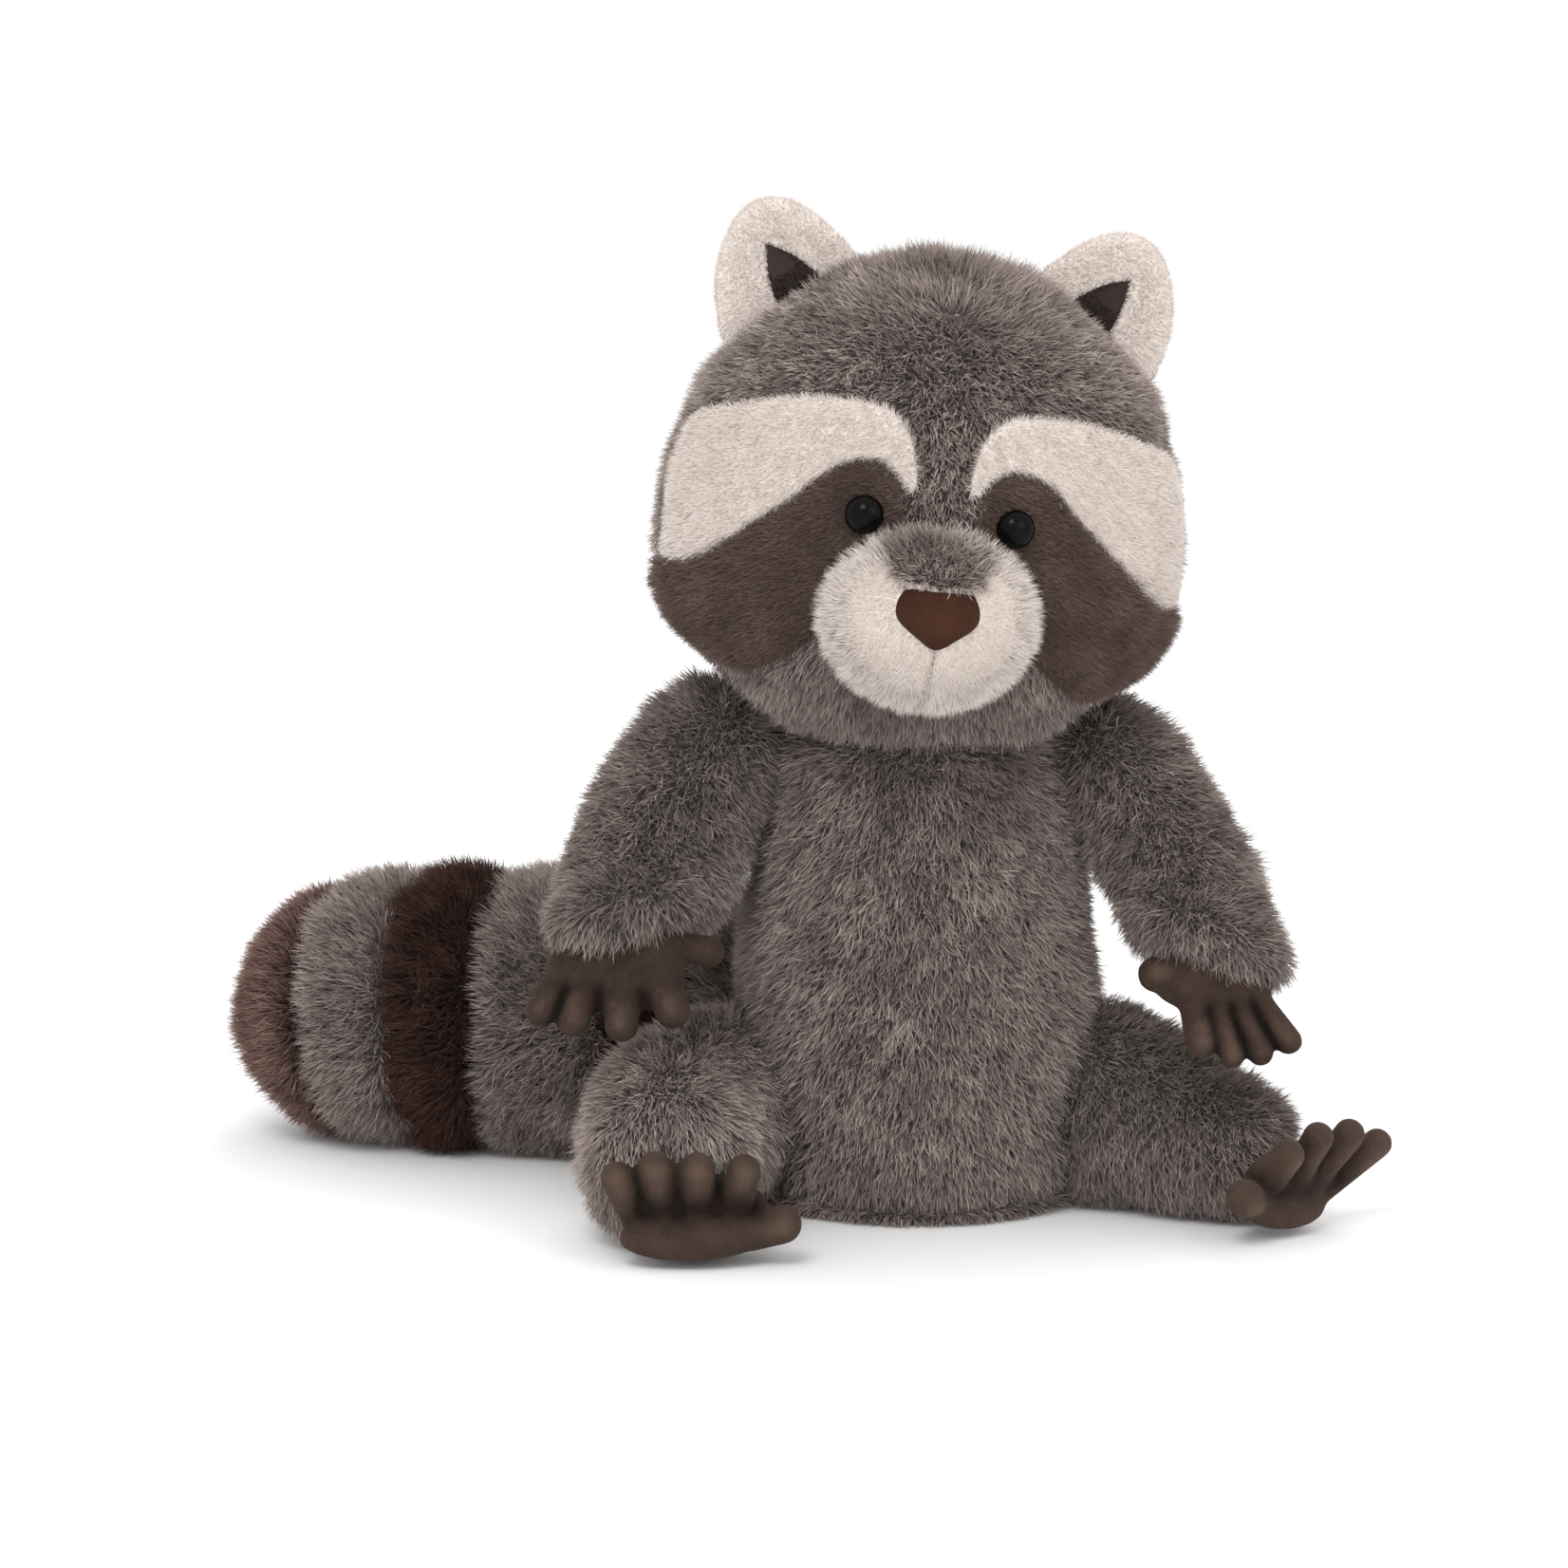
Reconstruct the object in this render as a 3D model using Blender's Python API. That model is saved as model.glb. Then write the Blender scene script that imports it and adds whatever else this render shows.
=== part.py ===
"""Seated plush raccoon. Metres, +Z up, front towards -Y, origin on the floor under the torso.

Every sewn and stuffed piece is its own object: torso with its base panel and bean pouch, head with
its patches, muzzle, nose, eyes and ears, arms with hands, legs with feet, and a tail of sewn bands.
Left and right are the toy's own, so its left side is at +X.
"""

import math

import bmesh
import bpy
import numpy as np
from mathutils import Matrix, Vector

# Clearance that two sewn pieces keep where they meet
SEAM_GAP = 0.0003

# Torso: a pear-shaped bag that sits on a flat oval base panel
TORSO_HEIGHT = 0.124
TORSO_HALF_WIDTH = 0.0425
TORSO_HALF_DEPTH = 0.0385
# (height, half width, half depth) as shares of the three sizes above
TORSO_SHAPE = [
    (0.000, 0.77, 0.68),
    (0.035, 0.86, 0.79),
    (0.12, 0.95, 0.93),
    (0.28, 1.00, 1.00),
    (0.48, 0.99, 0.98),
    (0.68, 0.93, 0.93),
    (0.86, 0.86, 0.87),
    (0.95, 0.70, 0.74),
    (1.00, 0.00, 0.00),
]
BASE_PANEL_THICKNESS = 0.0030

# Bean pouch in a pocket of the torso, resting on the base panel
POUCH_HALF_WIDTH = 0.026
POUCH_HALF_DEPTH = 0.023
POUCH_HEIGHT = 0.022

# Head: wide at the cheeks, tilted and turned a little
HEAD_HALF_WIDTH = 0.0615
HEAD_HALF_DEPTH = 0.0500
HEAD_HALF_HEIGHT = 0.0580
HEAD_SINK = 0.0130  # how far the head sits down over the torso
HEAD_SHIFT = (0.001, -0.006)
HEAD_ROLL = math.radians(6.0)
HEAD_YAW = math.radians(3.0)
# (height, half width, half depth) as shares, bottom to top
HEAD_SHAPE = [
    (-1.00, 0.000, 0.00),
    (-0.95, 0.440, 0.48),
    (-0.76, 0.740, 0.76),
    (-0.58, 0.900, 0.89),
    (-0.33, 1.000, 0.97),
    (-0.08, 1.005, 1.00),
    (0.24, 0.943, 0.97),
    (0.53, 0.820, 0.88),
    (0.80, 0.590, 0.67),
    (0.93, 0.350, 0.42),
    (1.00, 0.000, 0.00),
]

# Face patches: a short-pile panel lies a little below the long fur round it
BROW_THICKNESS = 0.0031
MASK_THICKNESS = 0.0036
PATCH_BELOW_FUR = 0.0005
PATCH_BACK = 0.07  # where a patch ends at the head's side, as a share of the half depth in front
# Outlines in the head's front view, as shares of its half width and half height, for the left side
BROW_OUTLINE = [
    (0.10, 0.12),
    (0.11, 0.30),
    (0.26, 0.425),
    (0.52, 0.41),
    (0.80, 0.30),
    (0.93, 0.21),
    (0.975, 0.06),
    (0.98, -0.16),
    (0.93, -0.34),
    (0.74, -0.21),
    (0.45, -0.05),
    (0.20, 0.00),
]
MASK_OUTLINE = [
    (0.14, 0.06),
    (0.26, 0.215),
    (0.40, 0.17),
    (0.55, 0.02),
    (0.70, -0.12),
    (0.88, -0.29),
    (0.975, -0.35),
    (0.955, -0.50),
    (0.86, -0.61),
    (0.68, -0.71),
    (0.53, -0.62),
    (0.42, -0.50),
    (0.34, -0.30),
    (0.175, -0.10),
]

# Muzzle: a stuffed dome of two cream panels with a fur strip on top
MUZZLE_HALF_WIDTH = 0.0240
MUZZLE_HALF_DEPTH = 0.0280
MUZZLE_HALF_HEIGHT = 0.0203
MUZZLE_BELOW_HEAD = 0.0220  # muzzle centre under the head centre
MUZZLE_SUNK = 0.0065  # muzzle centre behind the head's front
MUZZLE_FORWARD = HEAD_HALF_DEPTH - MUZZLE_SUNK
BRIDGE_THICKNESS = 0.0030
BRIDGE_PROUD = 0.0006
# Outlines in the muzzle's front view, as shares of its half width and half height
BRIDGE_OUTLINE = [
    (-0.24, 0.48),
    (-0.44, 0.56),
    (-0.50, 0.78),
    (-0.42, 1.12),
    (0.42, 1.12),
    (0.50, 0.78),
    (0.44, 0.56),
    (0.24, 0.48),
]
NOSE_OUTLINE = [
    (0.00, -0.20),
    (-0.21, -0.07),
    (-0.38, 0.08),
    (-0.40, 0.27),
    (-0.29, 0.43),
    (0.00, 0.43),
    (0.29, 0.43),
    (0.40, 0.27),
    (0.38, 0.08),
    (0.21, -0.07),
]
NOSE_PROUD = 0.0016
NOSE_SUNK = 0.0014

# Eyes: domed buttons, each on a stem with a lock washer inside the head
EYE_RADIUS = 0.0047
EYE_DOME = 0.0040
EYE_PLACE = (0.279, 0.008)
EYE_STEM_RADIUS = 0.0016
EYE_STEM_LENGTH = 0.0120
WASHER_RADIUS = 0.0058
WASHER_THICKNESS = 0.0016
WASHER_DEPTH = 0.0065  # from the eye's base to the washer's front

# Ears: flat stuffed leaves with a dark lining let into the front
EAR_HALF_THICKNESS = 0.0046
EAR_BACK = 0.003  # ear plane behind the head centre
EAR_CUP = 0.0040
LINING_THICKNESS = 0.0020
EAR_OUTLINE = [
    (0.34, 0.90),
    (0.48, 1.06),
    (0.61, 1.13),
    (0.73, 1.125),
    (0.815, 1.04),
    (0.86, 0.89),
    (0.86, 0.72),
    (0.78, 0.50),
    (0.60, 0.52),
    (0.42, 0.70),
]
LINING_OUTLINE = [
    (0.47, 0.82),
    (0.58, 0.91),
    (0.68, 0.950),
    (0.675, 0.85),
    (0.64, 0.73),
    (0.57, 0.70),
]

# Arms: plump sleeves. Each path runs from inside the shoulder to the hem, as steps outwards from the
# torso's side, back, and up from the torso's top
ARM_PATHS = {
    "right": [
        (-0.0055, -0.001, -0.004),
        (0.0070, -0.006, -0.0165),
        (0.0175, -0.015, -0.034),
        (0.027, -0.0294, -0.0561),
    ],
    "left": [
        (-0.0070, -0.001, -0.0065),
        (0.0052, -0.005, -0.0195),
        (0.0170, -0.014, -0.039),
        (0.0267, -0.0272, -0.0627),
    ],
}
ARM_RADII = {"right": [0.0145, 0.0180, 0.0198, 0.0190], "left": [0.0140, 0.0157, 0.0172, 0.0172]}
# Each sleeve's end is cut on a slant, shorter at the thumb: the slope, and the stretch it runs over
ARM_SLANT = {"right": 0.20, "left": 0.50}
ARM_SLANT_LENGTH = 0.026
ARM_ROOT_ROUND = 0.0080
ARM_END_ROUND = 0.0090

# Legs: each path runs from inside the hip to the ankle, as steps outwards from the torso's side,
# back, and up from the floor. Their sections are (half width, half height).
LEG_PATHS = {
    "right": [
        (-0.0125, 0.008, 0.026),
        (0.0058, -0.014, 0.0245),
        (0.0160, -0.038, 0.0225),
        (0.013, -0.062, 0.018),
    ],
    "left": [
        (-0.0205, 0.007, 0.026),
        (0.0025, -0.003, 0.0240),
        (0.0225, -0.0145, 0.0190),
        (0.044, -0.0295, 0.0140),
    ],
}
LEG_SECTIONS = {
    "right": [(0.0190, 0.0220), (0.0205, 0.0252), (0.0212, 0.0246), (0.0200, 0.0204)],
    "left": [(0.0190, 0.0220), (0.0205, 0.0248), (0.0180, 0.0198), (0.0140, 0.0148)],
}
LEG_ROOT_ROUND = 0.0120
LEG_END_ROUND = 0.0100

# Hands and feet: mitts of a palm or sole with four digits and a thumb. Each is set out flat, with
# the digits up and the thumb to the right, then placed by the directions of digits and thumb.
# half sizes of the palm: half width, half thickness, half length
HAND_PALM = (0.0150, 0.0080, 0.0095)
FOOT_SOLE = (0.0185, 0.0085, 0.0098)
FINGER_RADIUS = 0.0039
TOE_RADIUS = 0.0042
# digits as (root x, root z, tip x, tip z), the last one the thumb
MITTS = {
    "hand_right": {
        "from_limb_end": (0.0, -0.0126, -0.0034),
        "digits_towards": (-0.05, -0.35, -0.93),
        "thumb_towards": (1.0, -0.10, 0.0),
        "digits": [
            (-0.0125, 0.003, -0.0176, 0.0109),
            (-0.0080, 0.003, -0.0096, 0.0131),
            (0.0008, 0.003, 0.0015, 0.0135),
            (0.0095, 0.001, 0.0130, 0.0100),
            (0.0100, -0.005, 0.0206, -0.0046),
        ],
    },
    "hand_left": {
        "from_limb_end": (-0.0002, -0.0098, -0.0048),
        "digits_towards": (0.15, -0.30, -0.94),
        "thumb_towards": (-1.0, -0.15, -0.10),
        "digits": [
            (-0.0088, 0.001, -0.0146, 0.0122),
            (-0.0042, 0.002, -0.0072, 0.0140),
            (0.0006, 0.002, -0.0004, 0.0137),
            (0.0062, 0.000, 0.0064, 0.0100),
            (0.0075, -0.006, 0.0145, -0.0068),
        ],
    },
    "foot_right": {
        "from_limb_end": (0.0035, -0.0035, -0.0070),
        "digits_towards": (0.0, -0.06, 1.0),
        "thumb_towards": (1.0, 0.05, 0.05),
        "digits": [
            (-0.0145, 0.003, -0.0178, 0.0110),
            (-0.0082, 0.003, -0.0091, 0.0130),
            (0.0004, 0.003, 0.0005, 0.0127),
            (0.0095, 0.003, 0.0112, 0.0120),
            (0.0120, -0.003, 0.0200, -0.0008),
        ],
    },
    "foot_left": {
        "from_limb_end": (0.0015, -0.0055, -0.0032),
        "digits_towards": (0.42, -0.34, 0.84),
        "thumb_towards": (-0.74, -0.67, 0.05),
        "digits": [
            (-0.0080, -0.002, -0.0200, 0.0119),
            (-0.0043, 0.003, -0.0078, 0.0152),
            (0.0034, 0.004, 0.0032, 0.0153),
            (0.0115, 0.004, 0.0126, 0.0125),
            (0.0120, -0.002, 0.0205, 0.0012),
        ],
    },
}

# Tail: one stuffed tube sewn from fur bands, lying on the floor behind the torso. Its path runs
# across, back from the torso's back and up from the floor.
TAIL_PATH = [
    (0.0, -0.0085, 0.032),
    (-0.045, 0.0115, 0.0335),
    (-0.086, 0.019, 0.0335),
    (-0.122, 0.0265, 0.0335),
    (-0.165, 0.0445, 0.0280),
]
TAIL_SECTIONS = [(0.0260, 0.0260), (0.0330, 0.0330), (0.0350, 0.0350), (0.0345, 0.0345), (0.0310, 0.0290)]
TAIL_TIP_ROUND = 0.030
TAIL_ROOT_ROUND = 0.014
# Where the bands are sewn, as distances back from the tip
TAIL_SEAMS = [0.0275, 0.0480, 0.0670, 0.1000, 0.1225]
TAIL_BANDS = [
    ("tail_tip_brown", "tail_brown"),
    ("tail_band_grey_outer", "grey_fur"),
    ("tail_band_brown_outer", "tail_brown"),
    ("tail_band_grey_inner", "grey_fur"),
    ("tail_band_brown_inner", "tail_brown"),
    ("tail_root_grey", "grey_fur"),
]

COLOURS = {
    "grey_fur": (0.145, 0.118, 0.107, 1.0, 0.95),
    "cream_pile": (0.640, 0.560, 0.500, 1.0, 0.90),
    "brown_pile": (0.085, 0.055, 0.045, 1.0, 0.90),
    "dark_lining": (0.050, 0.035, 0.030, 1.0, 0.90),
    "suede": (0.060, 0.042, 0.034, 1.0, 0.85),
    "tail_brown": (0.030, 0.015, 0.012, 1.0, 0.95),
    "nose_suede": (0.060, 0.028, 0.018, 1.0, 0.80),
    "eye_black": (0.004, 0.004, 0.004, 1.0, 0.10),
    "washer_white": (0.700, 0.700, 0.680, 1.0, 0.50),
    "pouch_cloth": (0.500, 0.480, 0.440, 1.0, 0.90),
}


# Scene, materials and object helpers


def clear_scene():
    for obj in list(bpy.data.objects):
        bpy.data.objects.remove(obj)


def material(name):
    found = bpy.data.materials.get(name)
    if found:
        return found
    red, green, blue, alpha, roughness = COLOURS[name]
    made = bpy.data.materials.new(name)
    made.use_nodes = True
    shader = made.node_tree.nodes["Principled BSDF"]
    shader.inputs["Base Color"].default_value = (red, green, blue, alpha)
    shader.inputs["Roughness"].default_value = roughness
    shader.inputs["Metallic"].default_value = 0.0
    return made


def object_from(name, bm, finish=None):
    """Links a bmesh to the scene. Without a finish it is a hidden cutter."""
    bmesh.ops.recalc_face_normals(bm, faces=bm.faces)
    mesh = bpy.data.meshes.new(name)
    bm.to_mesh(mesh)
    bm.free()
    obj = bpy.data.objects.new(name, mesh)
    bpy.context.scene.collection.objects.link(obj)
    if finish:
        mesh.materials.append(material(finish))
        mesh.shade_smooth()
    else:
        obj.hide_render = True
        obj.display_type = "WIRE"
    return obj


def combine(obj, other, operation):
    """Adds an exact Boolean of the other object to obj."""
    step = obj.modifiers.new(operation.lower() + "_" + other.name, "BOOLEAN")
    step.operation = operation
    step.object = other
    step.solver = "EXACT"


# Curves and surfaces


def between(a, b, c, d, t):
    """The Catmull-Rom curve from b to c, with a and d as its outer neighbours."""
    line = 2 * b + (c - a) * t
    return 0.5 * (line + (2 * a - 5 * b + 4 * c - d) * t**2 + (3 * b - a - 3 * c + d) * t**3)


def smooth_row(rows, count):
    """Points on a Catmull-Rom curve through rows, count + 1 of them, evenly spread over the rows."""
    rows = np.array(rows, float)
    ends = np.vstack([2 * rows[0] - rows[1], rows, 2 * rows[-1] - rows[-2]])
    place = np.linspace(0, len(rows) - 1, count + 1)
    start = np.minimum(place.astype(int), len(rows) - 2)
    t = (place - start)[:, None]
    a, b, c, d = (ends[start + k] for k in range(4))
    return between(a, b, c, d, t)


def smooth_outline(corners, per_side=2):
    """A closed Catmull-Rom curve through the corners."""
    corners = np.array(corners, float)
    t = (np.arange(per_side) / per_side)[:, None]
    pieces = []
    for k in range(len(corners)):
        a, b, c, d = (corners[(k + step) % len(corners)] for step in (-1, 0, 1, 2))
        pieces.append(between(a, b, c, d, t))
    return np.vstack(pieces)


def grown_outline(outline, grow):
    """The outline moved outwards by grow along its own normals."""
    along = np.roll(outline, -1, axis=0) - np.roll(outline, 1, axis=0)
    normal = np.column_stack([along[:, 1], -along[:, 0]])
    normal /= np.linalg.norm(normal, axis=1)[:, None]
    area = np.sum(outline[:, 0] * np.roll(outline[:, 1], -1) - outline[:, 1] * np.roll(outline[:, 0], -1))
    return outline + normal * (grow if area > 0 else -grow)


def loft(name, rings, finish=None):
    """A closed body bridged from ring to ring; the end rings are capped."""
    bm = bmesh.new()
    loops = []
    for ring in rings:
        verts = [bm.verts.new(point) for point in ring]
        loops.append([bm.edges.new((verts[k - 1], verts[k])) for k in range(len(verts))])
    for first, second in zip(loops[:-1], loops[1:]):
        bmesh.ops.bridge_loops(bm, edges=first + second)
    for loop in (loops[0], loops[-1]):
        bmesh.ops.contextual_create(bm, geom=loop)
    return object_from(name, bm, finish)


def oval(half_width, half_depth, z, sides, centre=(0, 0), roundness=2.0):
    """A level superellipse ring."""
    turn = np.arange(sides) * 2 * math.pi / sides
    power = 2 / roundness
    x = np.sign(np.cos(turn)) * np.abs(np.cos(turn)) ** power * half_width
    y = np.sign(np.sin(turn)) * np.abs(np.sin(turn)) ** power * half_depth
    return np.column_stack([centre[0] + x, centre[1] + y, np.full(sides, z)])


def stacked_body(name, shape, sizes, sides, levels, grow=0.0, finish=None, roundness=2.0):
    """A body of level ovals. shape holds shares of sizes = (height, half width, half depth)."""
    height, half_width, half_depth = sizes
    rings = []
    rows = smooth_row(shape, levels)
    low, high = rows[:, 0].min(), rows[:, 0].max()
    middle = (low + high) / 2
    stretch = 1 + grow / (height * (high - low) / 2)
    for level, wide, deep in rows:
        wide = max(wide, 0.03)
        deep = max(deep, 0.03)
        z = height * (middle + (level - middle) * stretch)
        rings.append(oval(half_width * wide + grow, half_depth * deep + grow, z, sides, roundness=roundness))
    return loft(name, rings, finish)


def tube(name, path, sections, sides, steps, rounds, grow=0.0, finish=None, part=(0.0, 1.0), floor=None,
         slant=None):
    """A stuffed tube along a smooth path, with rounded ends and a flat where it meets the floor.

    sections are (level, upright) half axes at the path's points, rounds the length of each end's
    rounding, and part the stretch of the tube that is made, as shares of its length. slant is the
    slope of the end's cut, the stretch it runs over, and the side (+1 or -1 in X) that is shorter.
    """
    line = smooth_row(path, 40)
    sizes = smooth_row(sections, 40)
    along = np.concatenate([[0], np.cumsum(np.linalg.norm(np.diff(line, axis=0), axis=1))])
    length = along[-1]
    first, last = part
    share = first + (last - first) * (1 - np.cos(np.linspace(0, math.pi, steps + 1))) / 2
    if first > 0 and last < 1:
        share = np.linspace(first, last, steps + 1)
    rings = []
    for s in share:
        reach = s * (length + 2 * grow) - grow
        centre = np.array([np.interp(reach, along, line[:, k]) for k in range(3)])
        half = np.array([np.interp(reach, along, sizes[:, k]) for k in range(2)])
        ahead = np.array([np.interp(reach + 0.002, along, line[:, k]) for k in range(3)])
        behind = np.array([np.interp(reach - 0.002, along, line[:, k]) for k in range(3)])
        forward = (ahead - behind) / np.linalg.norm(ahead - behind)
        if reach < 0 or reach > length:
            centre = centre + forward * (reach if reach < 0 else reach - length)
        taper = 1.0
        for near, rounding in ((reach + grow, rounds[0] + grow), (length + grow - reach, rounds[1] + grow)):
            if near < rounding:
                taper *= math.sqrt(max(1 - (1 - near / rounding) ** 2, 0.0))
        half = (half + grow) * max(taper, 0.03)
        level = np.cross(forward, (0, 0, 1))
        level /= np.linalg.norm(level)
        upright = np.cross(level, forward)
        turn = np.arange(sides) * 2 * math.pi / sides
        ring = centre + np.outer(np.cos(turn) * half[0], level) + np.outer(np.sin(turn) * half[1], upright)
        if slant is not None:
            slope, stretch, side = slant
            near_end = min(max(1 + (reach - length) / stretch, 0.0), 1.0)
            inward = (ring[:, 0] - centre[0]) * side
            ring = ring - np.outer(slope * near_end ** 2 * inward, forward)
        if floor is not None:
            ring[:, 2] = np.maximum(ring[:, 2], floor - grow)
        rings.append(ring)
    return loft(name, rings, finish)


def prism(name, outline, back, front):
    """An outline in the front view, run along Y from front to back."""
    bm = bmesh.new()
    face = bm.faces.new([bm.verts.new((x, front, z)) for x, z in outline])
    run = bmesh.ops.extrude_face_region(bm, geom=[face])
    moved = [v for v in run["geom"] if isinstance(v, bmesh.types.BMVert)]
    bmesh.ops.translate(bm, vec=(0, back - front, 0), verts=moved)
    return object_from(name, bm)


def ball(name, half, centre, sides, levels, grow=0.0, turn=None, finish=None):
    """An ellipsoid, turned by a matrix if one is given."""
    bm = bmesh.new()
    bmesh.ops.create_uvsphere(bm, u_segments=sides, v_segments=levels, radius=1.0)
    size = Matrix.Diagonal([h + grow for h in half] + [1])
    place = Matrix.Translation(centre) @ (turn.to_4x4() if turn else Matrix()) @ size
    bmesh.ops.transform(bm, matrix=place, verts=bm.verts)
    return object_from(name, bm, finish)


# Torso


def torso_shape(name, grow=0.0, finish=None, sides=24, levels=12):
    sizes = (TORSO_HEIGHT, TORSO_HALF_WIDTH, TORSO_HALF_DEPTH)
    return stacked_body(name, TORSO_SHAPE, sizes, sides, levels, grow=grow, finish=finish)


def slab(name, low, high):
    """A level block, wider than the torso, that keeps or removes a layer of it."""
    reach = 4 * (TORSO_HALF_WIDTH + TORSO_HALF_DEPTH)
    bm = bmesh.new()
    bmesh.ops.create_cube(bm, size=1.0)
    bmesh.ops.scale(bm, vec=(reach, reach, high - low), verts=bm.verts)
    bmesh.ops.translate(bm, vec=(0, 0, (low + high) / 2), verts=bm.verts)
    return object_from(name, bm)


def pouch_shape(name, grow=0.0, finish=None, foot=0.0):
    """A domed oval bag. foot lengthens it downwards, as the pocket cutter needs."""
    floor_level = BASE_PANEL_THICKNESS + SEAM_GAP
    share = np.sin(np.linspace(0.03, 1.0, 9) * math.pi / 2)
    rings = [oval(POUCH_HALF_WIDTH + grow, POUCH_HALF_DEPTH + grow, floor_level - foot, 20)]
    for rise in share:
        across = math.sqrt(max(1 - rise**3, 0.002))
        z = floor_level + (POUCH_HEIGHT + grow) * rise
        rings.append(oval((POUCH_HALF_WIDTH + grow) * across, (POUCH_HALF_DEPTH + grow) * across, z, 20))
    return loft(name, rings, finish)


def build_torso():
    torso = torso_shape("torso", finish="grey_fur")
    combine(torso, slab("cut_torso_foot", -TORSO_HEIGHT, BASE_PANEL_THICKNESS + SEAM_GAP), "DIFFERENCE")
    combine(torso, pouch_shape("cut_pouch_pocket", SEAM_GAP, foot=2 * BASE_PANEL_THICKNESS), "DIFFERENCE")
    panel = torso_shape("torso_base_panel", finish="grey_fur")
    combine(panel, slab("keep_base_panel", -TORSO_HEIGHT, BASE_PANEL_THICKNESS), "INTERSECT")
    pouch_shape("bean_pouch", finish="pouch_cloth")


# Head


def head_shape(name, grow=0.0, finish=None, sides=32, levels=16):
    sizes = (HEAD_HALF_HEIGHT, HEAD_HALF_WIDTH, HEAD_HALF_DEPTH)
    return stacked_body(name, HEAD_SHAPE, sizes, sides, levels, grow=grow, finish=finish, roundness=2.15)


def on_head(place):
    """The head's front surface point and outward normal at a place given as front-view shares."""

    def surface(x, z):
        rows = smooth_row(HEAD_SHAPE, 60)
        wide = np.interp(z / HEAD_HALF_HEIGHT, rows[:, 0], rows[:, 1]) * HEAD_HALF_WIDTH
        deep = np.interp(z / HEAD_HALF_HEIGHT, rows[:, 0], rows[:, 2]) * HEAD_HALF_DEPTH
        return Vector((x, -deep * (1 - (abs(x) / wide) ** 2.15) ** (1 / 2.15), z))

    x, z = place[0] * HEAD_HALF_WIDTH, place[1] * HEAD_HALF_HEIGHT
    step = 0.002
    across = surface(x + step, z) - surface(x - step, z)
    upward = surface(x, z + step) - surface(x, z - step)
    normal = across.cross(upward).normalized()
    return surface(x, z), normal


def front_outline(shares, side, half_width=HEAD_HALF_WIDTH, half_height=HEAD_HALF_HEIGHT):
    """A smooth outline in metres, mirrored for side -1."""
    return smooth_outline([(side * x * half_width, z * half_height) for x, z in shares])


def panel(name, outline, host, proud, thickness, reach, finish):
    """A sewn panel: the part of the host's skin inside an outline of its front view."""
    piece = prism(name, outline, *reach)
    piece.hide_render = False
    piece.display_type = "TEXTURED"
    piece.data.materials.append(material(finish))
    combine(piece, host(f"skin_{name}", proud), "INTERSECT")
    combine(piece, host(f"core_{name}", proud - thickness), "DIFFERENCE")
    return piece


def recess(name, outline, host, proud, thickness, reach):
    """The cutter that lets such a panel into its host, a seam gap larger all round."""
    cutter = prism(f"recess_{name}", grown_outline(outline, SEAM_GAP), *reach)
    combine(cutter, host(f"floor_{name}", proud - thickness - SEAM_GAP), "DIFFERENCE")
    return cutter


def eye_turn(side):
    """Where an eye sits and the rotation that carries +Z to its outward normal."""
    point, normal = on_head((side * EYE_PLACE[0], EYE_PLACE[1]))
    return point, normal.to_track_quat("Z", "Y").to_matrix()


def eye_shape(name, side, grow=0.0, finish=None):
    """A domed button with a stem behind it, as one turned body."""
    point, turn = eye_turn(side)
    profile = [(EYE_STEM_RADIUS, -EYE_STEM_LENGTH), (EYE_STEM_RADIUS, -0.0012), (EYE_RADIUS * 0.94, -0.0009)]
    for k in range(6):
        angle = k / 6 * math.pi / 2
        profile.append((EYE_RADIUS * math.cos(angle), EYE_DOME * math.sin(angle)))
    profile.append((EYE_RADIUS * 0.08, EYE_DOME))
    rings = []
    for k, (radius, z) in enumerate(profile):
        if k == 0:
            z -= grow
        elif k == len(profile) - 1:
            z += grow
        elif k in (1, 2):
            z -= grow
        rings.append(oval(radius + grow, radius + grow, z, 16))
    eye = loft(name, rings, finish)
    eye.data.transform(Matrix.Translation(point) @ turn.to_4x4())
    return eye


def washer_shape(name, side, grow=0.0, bore=True, finish=None):
    """The lock washer round the stem; the pocket cutter is the same without its bore."""
    point, turn = eye_turn(side)
    back = -WASHER_DEPTH - WASHER_THICKNESS - grow
    rings = [oval(WASHER_RADIUS + grow, WASHER_RADIUS + grow, z, 16) for z in (back, -WASHER_DEPTH + grow)]
    washer = loft(name, rings, finish)
    washer.data.transform(Matrix.Translation(point) @ turn.to_4x4())
    if bore:
        combine(washer, eye_shape(f"bore_{name}", side, SEAM_GAP), "DIFFERENCE")
    return washer


def muzzle_shape(name, grow=0.0, sides=20, levels=12):
    half = (MUZZLE_HALF_WIDTH, MUZZLE_HALF_DEPTH, MUZZLE_HALF_HEIGHT)
    return ball(name, half, (0, -MUZZLE_FORWARD, -MUZZLE_BELOW_HEAD), sides, levels, grow)


def muzzle_outline(shares):
    half = [(x * MUZZLE_HALF_WIDTH, z * MUZZLE_HALF_HEIGHT - MUZZLE_BELOW_HEAD) for x, z in shares]
    return smooth_outline(half)


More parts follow.
